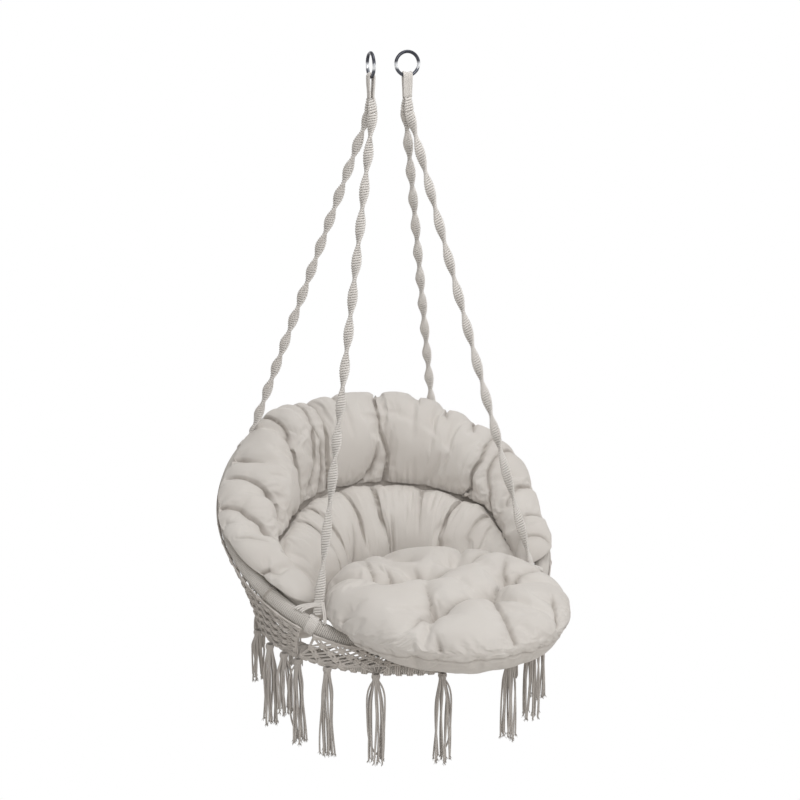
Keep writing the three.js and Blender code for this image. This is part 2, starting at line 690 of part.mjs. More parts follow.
// Points that hang from a panel's lower edge, one for each tassel below it and each from a
// column of its own.
function addNetPoints(faces, places, spot, edgeDegrees, columns, rows) {
  const pointDegrees = tasselDegrees
    .map((seatDegrees) => largeDegreesAbove(seatDegrees, edgeDegrees(0)))
    .filter((degrees) => degrees > edgeDegrees(0) && degrees < edgeDegrees(columns))
    .sort((a, b) => a - b);
  let column = 0;
  for (const degrees of pointDegrees) {
    while (column < columns - 1 && edgeDegrees(column + 1) < degrees) {
      column += 1;
    }
    const low = [spot(column, rows + borderShare), edgeDegrees(column)];
    const high = [spot(column + 1, rows + borderShare), edgeDegrees(column + 1)];
    addNetPoint(faces, places, low, high, degrees);
    column = Math.min(column + 1, columns - 1);
  }
}

// The angle on the large hoop, at or after the given start, whose cord comes down at an angle
// on the seat hoop; found by halving.
function largeDegreesAbove(seatDegrees, start) {
  let [low, high] = [start, start + 360];
  const wanted = seatDegrees + 360 * Math.ceil((seatDegreesBelow(start) - seatDegrees) / 360);
  for (let halving = 0; halving < halvings; halving += 1) {
    const middle = (low + high) / 2;
    [low, high] = seatDegreesBelow(middle) < wanted ? [middle, high] : [low, middle];
  }
  return low;
}

// A point fans out from the border's own edge, so that it shares that edge's two ends.
function addNetPoint(faces, places, lowCorner, highCorner, degrees) {
  const [low, lowDegrees] = lowCorner;
  const [high, highDegrees] = highCorner;
  const narrow = ((highDegrees - lowDegrees) / 2) * (pointTipWidth / pointWidth);
  let [left, right] = [low, high];
  for (let step = 1; step <= pointSteps; step += 1) {
    const share = step / pointSteps;
    const half = mix((highDegrees - lowDegrees) / 2, narrow, share);
    const [nextLeft, nextRight] = [-half, half].map((shift) => {
      const angle = mix(mix(lowDegrees, highDegrees, 0.5), degrees, share) + shift;
      places.push([pointOnSeatHoop(angle, share, 0), pointOnSeatHoop(angle, share, netThickness)]);
      return places.length - 1;
    });
    faces.push([left, nextLeft, nextRight], [left, nextRight, right]);
    [left, right] = [nextLeft, nextRight];
  }
}

// Seat net: spokes and rings of cord across the seat hoop, round a knotted hub.
function seatNet() {
  const hoopInset = Math.sqrt(seatHoop.windingRadius ** 2 - seatNetDrop ** 2) + touchGap;
  const rimRadius = seatHoop.radius * Math.cos(Math.PI / hoopStations) - hoopInset;
  const bandRadii = [seatNetHubRadius];
  for (let ring = 1; ring <= seatNetRings; ring += 1) {
    const outer = mix(seatNetHubRadius, rimRadius, ring / seatNetRings);
    bandRadii.push(outer - seatNetCordWidth, outer);
  }
  const places = [];
  const corner = (radius, spoke, sideSign) => {
    const centreAngle = (spoke / seatNetSpokes) * Math.PI * 2;
    const halfAngle = Math.min(Math.asin(seatNetCordWidth / 2 / radius), Math.PI / seatNetSpokes / 2);
    return centreAngle + sideSign * halfAngle;
  };
  const put = (radius, angle) => {
    const direction = seatHoop.outward((angle * 180) / Math.PI);
    const middle = seatHoop.middle.clone().addScaledVector(direction, radius);
    places.push([-netThickness, 0].map((lift) => middle
      .clone()
      .addScaledVector(seatHoop.axis, lift - seatNetDrop)));
    return places.length - 1;
  };
  const rows = bandRadii.map((radius) => {
    const row = [];
    for (let spoke = 0; spoke < seatNetSpokes; spoke += 1) {
      row.push(put(radius, corner(radius, spoke, -1)), put(radius, corner(radius, spoke, 1)));
    }
    return row;
  });
  const faces = [];
  const count = seatNetSpokes * 2;
  for (let index = 1; index < count - 1; index += 1) {
    faces.push([rows[0][0], rows[0][index], rows[0][index + 1]]);
  }
  for (let band = 0; band < rows.length - 1; band += 1) {
    const isCordRing = band % 2 === 1;
    for (let index = 0; index < count; index += 1) {
      const isSpoke = index % 2 === 0;
      if (isSpoke || isCordRing) {
        const next = (index + 1) % count;
        const [a, b] = [rows[band][index], rows[band + 1][index]];
        const [c, d] = [rows[band + 1][next], rows[band][next]];
        faces.push([a, b, c], [a, c, d]);
      }
    }
  }
  return slab(places.map(([low]) => low), places.map(([, high]) => high), faces);
}

// Tassels: a round knot outside the net, and a skirt of cords that widens to its tips
const netPointOuterRadius = seatHoop.windingRadius + hoopFitGap + netThickness;
const tasselKnotReach = netPointOuterRadius + touchGap / 2 + tasselKnotRadius;

// How far below level the knot lies from the hoop's middle line: halfway down its net point.
function knotTurn(degrees) {
  const { outOfSeat } = wallFrame(largeDegreesAbove(degrees, 0));
  const edgeAngle = Math.atan2(outOfSeat.dot(seatHoop.axis), outOfSeat.dot(seatHoop.outward(degrees)));
  return Math.min(radians(tasselHangDegrees), edgeAngle) - Math.abs(radians(tasselHangDegrees)) / 2;
}

function tasselKnotPlace(degrees) {
  const { point } = hoopPlace(seatHoop, degrees);
  const angle = knotTurn(degrees);
  return point
    .clone()
    .addScaledVector(seatHoop.outward(degrees), Math.cos(angle) * tasselKnotReach)
    .addScaledVector(seatHoop.axis, Math.sin(angle) * tasselKnotReach);
}

function tassel(degrees, tasselLength) {
  const knotEdge = Math.sqrt(tasselKnotRadius ** 2 - tasselNeckRadius ** 2);
  const knotPoint = (turn) => [
    tasselKnotRadius * Math.cos(radians(turn)),
    tasselKnotRadius * Math.sin(radians(turn)),
  ];
  const profile = [
    [0, tasselKnotRadius],
    ...knotProfileDegrees.map(knotPoint),
    [tasselNeckRadius, -knotEdge],
    [tasselSkirtRadius, -tasselLength * tasselFullShare],
    [tasselSkirtRadius, -tasselLength * tasselFlareShare],
    [tasselTipRadius, -tasselLength],
    [0, -tasselLength],
  ].map(([x, y]) => new THREE.Vector2(x, y)).reverse();
  const geometry = new THREE.LatheGeometry(profile, tasselSides);
  geometry.rotateX(Math.PI / 2);
  geometry.rotateZ(radians(degrees) - Math.PI / 2);
  const knot = tasselKnotPlace(degrees);
  geometry.translate(knot.x, knot.y, knot.z);
  return geometry;
}

// Seat cushion: a round pad with a crown, a drawn-in seam, sewn tufts and folds that run
// from them to the seam.
const seatCushionY = backHoopFront.y - seatCushionOverhang + seatCushionHalfDepth;
const seatCushionMiddle = vector(0, seatCushionY, seatSeamHeight());

// The seam's height when the cushion rests on the large hoop and on the net over it: the least
// at which its underside clears every point of them below it.
function seatSeamHeight() {
  let height = -Infinity;
  for (let degrees = 180; degrees <= 360; degrees += restStepDegrees) {
    for (const point of hoopTops(degrees)) {
      const [x, y] = [point.x, point.y - seatCushionY];
      const share = Math.hypot(x / seatCushionHalfWidth, y / seatCushionHalfDepth);
      if (share < 1) {
        const form = seatBottomShare(y, share);
        const sag = seatSag(y);
        const hanging = seatCushionDrop * (1 - sag) - sag * (seatNetTop(y) + touchGap);
        height = Math.max(height, (point.z + seatRestGap + form * hanging) / (1 - form * sag));
      }
    }
  }
  return height;
}

// Points on the upper side of the large hoop's winding, and on the net over it.
function hoopTops(degrees) {
  const middle = trueHoopPoint(backHoop, degrees);
  const outward = backHoop.outward(degrees);
  const tops = restDegrees.map((turn) => middle
    .clone()
    .addScaledVector(outward, backHoop.windingRadius * Math.cos(radians(turn)))
    .addScaledVector(backHoop.axis, backHoop.windingRadius * Math.sin(radians(turn))));
  return [...tops, ...restShares.map((share) => wallPoint(degrees, share, netThickness))];
}

function tuftPlaces() {
  return tuftShares.map(([across, deep]) =>
    vector(across * seatCushionHalfWidth, deep * seatCushionHalfDepth, 0));
}

function seatTopHeight(x, y, share, tufts) {
  let height = seatCushionRise * Math.sqrt(1 - share ** crownPower);
  const spot = vector(x, y, 0);
  for (const tuft of tufts) {
    height -= tuftDepth * Math.exp(-((spot.distanceTo(tuft) / tuftSpread) ** 2));
  }
  for (const tuft of tufts) {
    const direction = tuft.clone().normalize();
    const along = spot.dot(direction);
    const off = spot.clone().addScaledVector(direction, -along).length();
    const past = smooth((along - tuft.length()) / tuftSpread + 1);
    height -= foldDepth * past * Math.exp(-((off / foldSpread) ** 2)) * (1 - share ** foldFadePower);
  }
  return height;
}

// In front of the large hoop the underside is as round as the top. Behind it, it narrows
// between the rising sides of the hoop and sags onto the seat net.
function seatBottomShare(y, share) {
  const behind = smooth((y - (backHoopFront.y - seatCushionY)) / (2 * backHoop.windingRadius) + 1);
  return mix(Math.sqrt(1 - share ** crownPower), (1 - share ** 2) ** underPower, behind);
}

function seatNetTop(y) {
  const slope = Math.tan(radians(seatHoopLeanDegrees));
  return seatHoopMiddle.z - seatNetDrop + (seatCushionY + y - seatHoopMiddle.y) * slope;
}

function seatSag(y) {
  return smooth((y - (backHoopFront.y - seatCushionY) - backHoop.windingRadius) / sagRun);
}

function seatBottomDepth(y) {
  return mix(seatCushionDrop, seatCushionMiddle.z - seatNetTop(y) - touchGap, seatSag(y));
}

function seatCushion() {
  const tufts = tuftPlaces();
  const ringAt = (share, heightAt) => {
    const ring = [];
    for (let column = 0; column < seatCushionColumns; column += 1) {
      const angle = (column / seatCushionColumns) * Math.PI * 2;
      const x = Math.cos(angle) * seatCushionHalfWidth * share;
      const y = Math.sin(angle) * seatCushionHalfDepth * share;
      ring.push(seatCushionMiddle.clone().add(vector(x, y, heightAt(x, y, share))));
    }
    return ring;
  };
  const underside = (x, y, share) => -seatBottomDepth(y) * seatBottomShare(y, share);
  const topside = (x, y, share) => seatTopHeight(x, y, share, tufts);
  const rings = [
    ...bottomRingShares.map((share) => ringAt(share, underside)),
    ringAt(1, () => 0),
    ...[...topRingShares].reverse().map((share) => ringAt(share, topside)),
  ];
  return loft(rings);
}

// Back cushion. Its rear follows a line just inside the large hoop down to the seat hoop, and
// its depth is limited by the seat cushion between its arms.

function inwardFrom(degrees) {
  const flat = backHoop.outward(degrees);
  return vector(-flat.x * backHoop.outward(90).y, -flat.y / backHoop.outward(90).y, 0).normalize();
}

// How far a level line runs inwards before it meets the seat cushion's outline.
function roomToSeatCushion(start, inward) {
  const fromX = (start.x - seatCushionMiddle.x) / seatCushionHalfWidth;
  const fromY = (start.y - seatCushionMiddle.y) / seatCushionHalfDepth;
  const stepX = inward.x / seatCushionHalfWidth;
  const stepY = inward.y / seatCushionHalfDepth;
  const a = stepX ** 2 + stepY ** 2;
  const b = fromX * stepX + fromY * stepY;
  const root = b ** 2 - a * (fromX ** 2 + fromY ** 2 - 1);
  return root < 0 || b > 0 ? Infinity : (-b - Math.sqrt(root)) / a;
}

// 1 in the middle of a sewn channel, 0 away from it.
function channelShare(degrees) {
  const offsets = channelDegrees.map((channel) => Math.abs(radians(degrees - channel)) * backHoop.radius);
  return smooth(1 - Math.min(...offsets) / channelSpread);
}

// The fold over the hoop is narrower beside the rear ropes' hitches, and ends before the front
// ones.
function lipShare(degrees) {
  const fromRear = Math.abs(Math.abs(degrees - 90) - Math.abs(rearHitchDegrees - 90));
  const fromFront = Math.min(degrees + frontHitchDegrees, 180 + frontHitchDegrees - degrees);
  return mix(hitchLipShare, 1, smooth(radians(fromRear) * backHoop.radius / hitchWidth - 1))
    * smooth(radians(fromFront) * backHoop.radius / armEndRounding - 1);
}

// One upright section of the cushion: two rounds, one above the other, with a crease between.
function backCushionSection(degrees, endShare) {
  const large = trueHoopPoint(backHoop, degrees);
  const small = trueHoopPoint(seatHoop, degrees);
  const inward = inwardFrom(degrees);
  const rearTop = large.clone().addScaledVector(inward, hitchReach + hoopFitGap);
  const towardsFront = smooth(-Math.sin(radians(degrees)) / Math.sin(radians(frontHitchDegrees)));
  const seatEdge = vector(small.x, small.y, small.z - seatNetDrop + touchGap);
  seatEdge.addScaledVector(inward, seatEdgeInset);
  const rearLow = mixPoints(rearTop, seatEdge, mix(1, armLowShare, towardsFront));
  const baseHeight = rearLow.z;
  const channel = channelShare(degrees);
  const topHeight = large.z + backCushionRise + armRise * towardsFront - channelTopDip * channel;
  const rooms = [rearTop, rearLow].map((start) => roomToSeatCushion(start, inward));
  const room = Math.min(...rooms) - armEndGap;
  const fullDepth = mix(lowerTierDepth, upperTierDepth, towardsFront);
  const upperDepth = Math.min(upperTierDepth, room) - channelDepth * channel;
  const lowerDepth = Math.min(fullDepth, room) - channelDepth * channel;
  const towardsBack = Math.max(0, Math.sin(radians(degrees)));
  const lowestCrease = mix(baseHeight, topHeight, lowestCreaseShare);
  const crease = Math.max(large.z - mix(armCreaseDrop, creaseDrop, towardsBack), lowestCrease);
  const rearAt = (height) => {
    const share = Math.max(0, (height - large.z) / (baseHeight - large.z));
    const swell = backBulge * Math.sin(Math.PI * Math.min(1, share)) * (1 - towardsFront);
    const [high, low] = [rearTop, rearLow].map((place) => vector(place.x, place.y, height));
    return mixPoints(high, low, Math.min(1, share)).addScaledVector(inward, -swell);
  };
  const profile = [];
  const round = (depth, low, high, fromDegrees, toDegrees, steps) => {
    for (let step = 0; step <= steps; step += 1) {
      const angle = radians(mix(fromDegrees, toDegrees, step / steps));
      const bluntCos = Math.sign(Math.cos(angle)) * Math.abs(Math.cos(angle)) ** tierRoundness;
      const bluntSin = Math.sign(Math.sin(angle)) * Math.abs(Math.sin(angle)) ** tierRoundness;
      profile.push([(depth / 2) * (1 + bluntCos), mix(low, high, (1 + bluntSin) / 2)]);
    }
  };
  const overlap = (topHeight - baseHeight) * tierOverlapShare;
  round(upperDepth, crease - overlap, topHeight, -creaseDegrees, 180, upperTierSteps);
  round(lowerDepth, baseHeight, crease + overlap, 180, 360 + creaseDegrees, lowerTierSteps);
  const lip = (depth, height) => {
    const above = smooth((height - large.z - lipLift) / lipSlope);
    return lipReach * above * (1 - depth / upperDepth) * lipShare(degrees);
  };
  const ring = profile.map(([depth, height]) =>
    rearAt(height).addScaledVector(inward, depth - lip(depth, height)));
  const centre = ring.reduce((sum, p) => sum.add(p), vector(0, 0, 0)).divideScalar(ring.length);
  return ring.map((p) => mixPoints(centre, p, endShare));
}

function backCushion() {
  const clearance = ((ropeWidth / 2 + armEndGap) / backHoop.radius) * (180 / Math.PI);
  const from = -frontHitchDegrees + clearance;
  const to = 180 + frontHitchDegrees - clearance;
  const roundingDegrees = (armEndRounding / backHoop.radius) * (180 / Math.PI);
  const rings = [];
  for (let station = 0; station < backCushionStations; station += 1) {
    const degrees = mix(from, to, station / (backCushionStations - 1));
    const fromEnd = Math.min(degrees - from, to - degrees) / roundingDegrees;
    const endShare = fromEnd >= 1 ? 1 : Math.max(armTipShare, Math.sqrt(1 - (1 - fromEnd) ** 2));
    rings.push(backCushionSection(degrees, endShare));
  }
  return loft(rings);
}

function addPiece(group, name, geometry, material) {
  const mesh = new THREE.Mesh(geometry, material);
  mesh.name = name;
  group.add(mesh);
}

function addSuspension(group) {
  for (const [side, word] of [[-1, 'left'], [1, 'right']]) {
    addPiece(group, `${word}_hanging_ring`, hangingRing(side), materials.chrome);
    addPiece(group, `${word}_rope_eye`, ropeEye(side), materials.cord);
    addPiece(group, `${word}_split_knot`, splitKnot(side), materials.cord);
    const front = sideDegrees(side, -frontHitchDegrees);
    const rear = sideDegrees(side, rearHitchDegrees);
    addPiece(group, `front_${word}_rope`, rope(side, -1, front, frontFlatLength), materials.cord);
    addPiece(group, `rear_${word}_rope`, rope(side, 1, rear, rearFlatLength), materials.cord);
    for (const [place, degrees] of [['front', front], ['rear', rear]]) {
      const hitch = hoopSleeve(backHoop, degrees, hitchWidth, hitchThickness);
      addPiece(group, `${place}_${word}_hitch`, hitch, materials.cord);
    }
    tieDegrees.forEach((degrees, index) => {
      const name = index === 0 ? `front_${word}_tie` : `rear_${word}_tie`;
      addPiece(group, name, cushionTie(backHoop, sideDegrees(side, degrees)), materials.cloth);
    });
  }
}

function addHoops(group) {
  addPiece(group, 'back_hoop_tube', hoopTube(backHoop, hitchDegrees.frontLeft), materials.steel);
  addPiece(group, 'back_hoop_winding', hoopWinding(backHoop, hitchDegrees.frontLeft), materials.cord);
  addPiece(group, 'seat_hoop_tube', hoopTube(seatHoop, hitchDegrees.frontLeft), materials.steel);
  addPiece(group, 'seat_hoop_winding', hoopWinding(seatHoop, hitchDegrees.frontLeft), materials.cord);
}

function addNets(group) {
  const { frontRight, frontLeft, rearRight, rearLeft } = hitchDegrees;
  addPiece(group, 'right_net', netPanel(frontRight - 360, rearRight, sidePanelCells), materials.cord);
  addPiece(group, 'back_net', netPanel(rearRight, rearLeft, backPanelCells), materials.cord);
  addPiece(group, 'left_net', netPanel(rearLeft, frontLeft, sidePanelCells), materials.cord);
  addPiece(group, 'front_net', netPanel(frontLeft, frontRight, frontPanelCells), materials.cord);
  addPiece(group, 'seat_net', seatNet(), materials.cord);
}

const chair = new THREE.Group();
chair.name = 'hanging_chair';
addSuspension(chair);
addHoops(chair);
addNets(chair);
tasselDegrees.forEach((degrees, index) => {
  const name = `tassel_${String(index + 1).padStart(2, '0')}`;
  addPiece(chair, name, tassel(degrees, tasselLengths[index]), materials.cord);
});
addPiece(chair, 'seat_cushion', seatCushion(), materials.cloth);
addPiece(chair, 'back_cushion', backCushion(), materials.cloth);

export default chair;
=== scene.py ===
import math
import bmesh
import bpy
import numpy as np
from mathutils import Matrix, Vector


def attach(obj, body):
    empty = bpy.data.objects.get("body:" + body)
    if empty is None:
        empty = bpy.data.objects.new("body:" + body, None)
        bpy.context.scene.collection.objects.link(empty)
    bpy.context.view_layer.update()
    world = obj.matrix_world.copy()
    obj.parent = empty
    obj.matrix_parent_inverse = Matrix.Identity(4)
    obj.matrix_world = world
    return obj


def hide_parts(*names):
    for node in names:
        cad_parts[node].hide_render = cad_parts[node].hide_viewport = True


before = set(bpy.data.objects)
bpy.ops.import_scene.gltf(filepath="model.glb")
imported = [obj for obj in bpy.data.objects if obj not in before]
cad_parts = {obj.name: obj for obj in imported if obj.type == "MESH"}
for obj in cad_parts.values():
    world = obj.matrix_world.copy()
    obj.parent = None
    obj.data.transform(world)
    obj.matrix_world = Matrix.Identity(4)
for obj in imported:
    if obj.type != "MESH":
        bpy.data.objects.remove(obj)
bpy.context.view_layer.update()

turn = 2 * math.pi
scene = bpy.context.scene
scene.view_settings.view_transform = "Standard"


# Small helpers for arrays of points, one point per row.
def unit(v):
    return v / np.maximum(np.linalg.norm(v, axis=-1, keepdims=True), 1e-12)


def dot(a, b):
    return np.sum(a * b, axis=-1, keepdims=True)


def mix(a, b, share):
    return a + (b - a) * share


# 0 below 0, 1 above 1, and 3 s^2 - 2 s^3 between.
def smooth(share):
    held = np.clip(share, 0, 1)
    return held * held * (3 - 2 * held)


def column(values):
    return np.asarray(values)[..., None]


# Quads of a grid of points, row by row; either direction may close on itself. UV is taken from
# a grid of the same shape plus one row or column where it closes.
def gridPart(points, uAlong, vAlong, closedRows=False, closedColumns=False, flip=False):
    rows, columns = points.shape[:2]
    r = np.arange(rows if closedRows else rows - 1)[:, None]
    c = np.arange(columns if closedColumns else columns - 1)[None, :]
    nextR, nextC = (r + 1) % rows, (c + 1) % columns
    quads = np.stack([r * columns + c, r * columns + nextC, nextR * columns + nextC, nextR * columns + c], -1)
    corners = ((0, 0), (0, 1), (1, 1), (1, 0))
    uv = np.stack([np.stack([uAlong[r + i, c + j], vAlong[r + i, c + j]], -1) for i, j in corners], -2)
    quads = quads.reshape(-1, 4)
    uv = uv.reshape(-1, 4, 2)
    if flip:
        quads, uv = quads[:, ::-1], uv[:, ::-1]
    return points.reshape(-1, 3), quads, uv


# Cords: an oval section carried along each path, its half width turned towards the reference
# direction. Open ends are rounded off. UV is the share round the cord and the metres along it.
def sweep(paths, reference, halfWide, halfThick, sides, closed=False):
    paths = np.asarray(paths, float)
    strands, count = paths.shape[:2]
    reference = np.broadcast_to(np.asarray(reference, float), paths.shape)
    halfWide = np.broadcast_to(np.asarray(halfWide, float), (strands, count))
    halfThick = np.broadcast_to(np.asarray(halfThick, float), (strands, count))
    if not closed:
        taper = 0.3  # an open end's section, as a share of the cord's
        reach = column(np.minimum(halfWide, halfThick)[:, [0, -1]]) * 0.5
        first = paths[:, :1] - unit(paths[:, 1:2] - paths[:, :1]) * reach[:, :1]
        last = paths[:, -1:] + unit(paths[:, -1:] - paths[:, -2:-1]) * reach[:, 1:]
        paths = np.concatenate([first, paths, last], 1)
        reference = np.concatenate([reference[:, :1], reference, reference[:, -1:]], 1)
        halfWide, halfThick = (np.concatenate([half[:, :1] * taper, half, half[:, -1:] * taper], 1)
                               for half in (halfWide, halfThick))
        count += 2
        ahead = unit(np.gradient(paths, axis=1))
    else:
        ahead = unit(np.roll(paths, -1, 1) - np.roll(paths, 1, 1))
    wide = unit(reference - dot(reference, ahead) * ahead)
    thick = np.cross(ahead, wide)
    angle = np.arange(sides) / sides * turn
    points = (paths[:, :, None]
              + wide[:, :, None] * column(halfWide[:, :, None] * np.cos(angle))
              + thick[:, :, None] * column(halfThick[:, :, None] * np.sin(angle)))
    steps = np.linalg.norm(np.diff(paths, axis=1, append=paths[:, :1]), axis=-1)
    length = np.concatenate([np.zeros((strands, 1)), np.cumsum(steps, 1)], 1)
    size = count * sides
    around = np.broadcast_to(np.arange(sides + 1) / sides, (count + 1, sides + 1))
    allPoints, allQuads, allUv = [], [], []
    for strand in range(strands):
        along = np.broadcast_to(column(length[strand]), (count + 1, sides + 1))
        p, q, w = gridPart(points[strand], around, along, closedRows=closed, closedColumns=True)
        allPoints.append(p)
        allQuads.append(q + strand * size)
        allUv.append(w)
    return np.concatenate(allPoints), np.concatenate(allQuads), np.concatenate(allUv)


def makeMesh(name, parts):
    points = np.concatenate([part[0] for part in parts])
    firsts = np.cumsum([0] + [len(part[0]) for part in parts[:-1]])
    quads = np.concatenate([part[1] + first for part, first in zip(parts, firsts)])
    uv = np.concatenate([part[2] for part in parts])
    mesh = bpy.data.meshes.new(name)
    mesh.vertices.add(len(points))
    mesh.vertices.foreach_set("co", points.astype(np.float32).ravel())
    mesh.loops.add(len(quads) * 4)
    mesh.loops.foreach_set("vertex_index", quads.astype(np.int32).ravel())
    mesh.polygons.add(len(quads))
    mesh.polygons.foreach_set("loop_start", np.arange(len(quads), dtype=np.int32) * 4)
    mesh.polygons.foreach_set("use_smooth", np.ones(len(quads), bool))
    mesh.update(calc_edges=True)
    mesh.uv_layers.new(name="UVMap").data.foreach_set("uv", uv.astype(np.float32).ravel())
    mesh.validate()
    return mesh


def addPiece(name, parts, material, body, nodes):
    piece = bpy.data.objects.new(name, makeMesh(name, parts))
    scene.collection.objects.link(piece)
    piece.data.materials.append(material)
    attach(piece, body)
    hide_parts(*nodes)
    return piece


# Materials
def linear(hexColour):
    shares = [int(hexColour[i:i + 2], 16) / 255 for i in (1, 3, 5)]
    return tuple(s / 12.92 if s <= 0.04045 else ((s + 0.055) / 1.055) ** 2.4 for s in shares) + (1.0,)


# Sets a node's inputs: an output is linked, anything else is the socket's own value.
def fillInputs(tree, node, inputs):
    for key, value in inputs.items():
        if isinstance(value, bpy.types.NodeSocket):
            tree.links.new(value, node.inputs[key])
        else:
            node.inputs[key].default_value = value


# Adds a node with its settings and links, and gives back one of its outputs.
def addNode(tree, kind, inputs, output=0, **settings):
    node = tree.nodes.new("ShaderNode" + kind)
    for key, value in settings.items():
        setattr(node, key, value)
    fillInputs(tree, node, inputs)
    return node.outputs[output]


def newMaterial(name):
    material = bpy.data.materials.new(name)
    material.use_nodes = True
    tree = material.node_tree
    return material, tree, tree.nodes["Principled BSDF"]


# Cotton cord: the strands of its lay wind round it once in laidLength metres, which shows as grooves in the
# bump and as painted shade, a darker colour in the grooves, with loose fibres over all.
def cordMaterial(name, light, dark, laidLength=0.011, layDepth=0.0005):
    material, tree, shader = newMaterial(name)
    place = addNode(tree, "TexCoord", {}, "Object")
    uv = addNode(tree, "TexCoord", {}, "UV")
    windShare = addNode(tree, "SeparateXYZ", {0: uv}, "X")
    length = addNode(tree, "SeparateXYZ", {0: uv}, "Y")
    along = addNode(tree, "Math", {0: length, 1: 1 / laidLength, 2: windShare}, operation="MULTIPLY_ADD")
    phase = addNode(tree, "Math", {0: along, 1: 3 * turn}, operation="MULTIPLY")
    lay = addNode(tree, "Math", {0: phase}, operation="SINE")
    raised = addNode(tree, "Math", {0: lay, 1: 0.5, 2: 0.5}, operation="MULTIPLY_ADD")
    fibres = addNode(tree, "TexNoise", {"Vector": place, "Scale": 900.0, "Detail": 4.0})
    blotches = addNode(tree, "TexNoise", {"Vector": place, "Scale": 22.0, "Detail": 2.0})
    tone = addNode(tree, "Mix", {0: blotches, 6: linear(light), 7: linear(dark)}, 2, data_type="RGBA")
    # Painted shade: the colour darkens towards the dark tone in the grooves between strands.
    grooveShade = addNode(tree, "Math", {0: raised, 1: -0.4, 2: 0.4}, operation="MULTIPLY_ADD")
    colour = addNode(tree, "Mix", {0: grooveShade, 6: tone, 7: linear(dark)}, 2, data_type="RGBA")
    height = addNode(tree, "Math", {0: fibres, 1: 0.35, 2: raised}, operation="MULTIPLY_ADD")
    bump = addNode(tree, "Bump", {"Strength": 0.8, "Distance": layDepth, "Height": height})
    rough = addNode(tree, "Math", {0: fibres, 1: 0.12, 2: 0.84}, operation="MULTIPLY_ADD")
    fillInputs(tree, shader, {"Base Color": colour, "Roughness": rough, "Normal": bump,
                              "Sheen Weight": 0.2, "Sheen Roughness": 0.6})
    return material


# Cushion cloth: plain weave with warp and weft 0.9 mm apart, a few thicker slubs, a tone that varies slowly,
# and painted shade: a warm dark colour along each sharp fold and crease, where shadow falls.
def clothMaterial(name, light, dark, shade, threadGap=0.0009, foldShadeShare=0.62):
    material, tree, shader = newMaterial(name)
    place = addNode(tree, "TexCoord", {}, "Object")
    uv = addNode(tree, "TexCoord", {}, "UV")
    across = addNode(tree, "SeparateXYZ", {0: uv}, "X")
    length = addNode(tree, "SeparateXYZ", {0: uv}, "Y")
    warpPhase = addNode(tree, "Math", {0: across, 1: turn / threadGap}, operation="MULTIPLY")
    weftPhase = addNode(tree, "Math", {0: length, 1: turn / threadGap}, operation="MULTIPLY")
    warp = addNode(tree, "Math", {0: warpPhase}, operation="SINE")
    weft = addNode(tree, "Math", {0: weftPhase}, operation="SINE")
    weave = addNode(tree, "Math", {0: warp, 1: weft}, operation="MULTIPLY")
    slubs = addNode(tree, "TexNoise", {"Vector": place, "Scale": 260.0, "Detail": 3.0})
    clouds = addNode(tree, "TexNoise", {"Vector": place, "Scale": 9.0, "Detail": 2.0})
    slubShare = addNode(tree, "Math", {0: slubs, 1: 0.16}, operation="MULTIPLY")
    tone = addNode(tree, "Mix", {0: clouds, 6: linear(light), 7: linear(dark)}, 2, data_type="RGBA")
    woven = addNode(tree, "Mix", {0: slubShare, 6: tone, 7: linear(dark)}, 2, data_type="RGBA")
    # Painted shade: the fold attribute mixes the colour towards the dark shade colour along folds and
    # creases.
    fold = addNode(tree, "Attribute", {}, "Fac", attribute_name="fold")
    foldDepth = addNode(tree, "Math", {0: fold, 1: foldShadeShare}, operation="MULTIPLY")
    colour = addNode(tree, "Mix", {0: foldDepth, 6: woven, 7: linear(shade)}, 2, data_type="RGBA")
    height = addNode(tree, "Math", {0: weave, 1: 0.4, 2: slubs}, operation="MULTIPLY_ADD")
    bump = addNode(tree, "Bump", {"Strength": 0.35, "Distance": 0.0003, "Height": height})
    rough = addNode(tree, "Math", {0: slubs, 1: 0.1, 2: 0.82}, operation="MULTIPLY_ADD")
    fillInputs(tree, shader, {"Base Color": colour, "Roughness": rough, "Normal": bump,
                              "Sheen Weight": 0.15, "Sheen Roughness": 0.5})
    return material


# Chromed steel: fine drawing marks, and a painted reflection in its base colour that runs from dark to bright
# with height, standing in for what polished chrome takes from a dark room with pale walls.
def chromeMaterial(name):
    material, tree, shader = newMaterial(name)
    place = addNode(tree, "TexCoord", {}, "Object")
    high = addNode(tree, "SeparateXYZ", {0: place}, "Z")
    level = addNode(tree, "Math", {0: high, 1: 1 / 0.06, 2: 0.875}, operation="MULTIPLY_ADD")
    # Painted reflection: dark and bright bands of base colour by height, not the steel's own tone.
    colour = addNode(tree, "ValToRGB", {0: level})
    reflectionBands = colour.node.color_ramp.elements
    reflectionBands[0].position, reflectionBands[0].color = 0.0, linear("#4C4E54")
    reflectionBands[1].position, reflectionBands[1].color = 1.0, linear("#3A3B41")
    for position, tone in ((0.3, "#54565C"), (0.4, "#D8D9DA"), (0.5, "#C8C9CB"), (0.6, "#4A4B51")):
        reflectionBands.new(position).color = linear(tone)
    marks = addNode(tree, "TexNoise", {"Vector": place, "Scale": 500.0, "Detail": 2.0})
    rough = addNode(tree, "Math", {0: marks, 1: 0.1, 2: 0.1}, operation="MULTIPLY_ADD")
    bump = addNode(tree, "Bump", {"Strength": 0.1, "Distance": 0.0001, "Height": marks})
    fillInputs(tree, shader, {"Base Color": colour, "Roughness": rough, "Normal": bump,
                              "Metallic": 1.0})
    return material


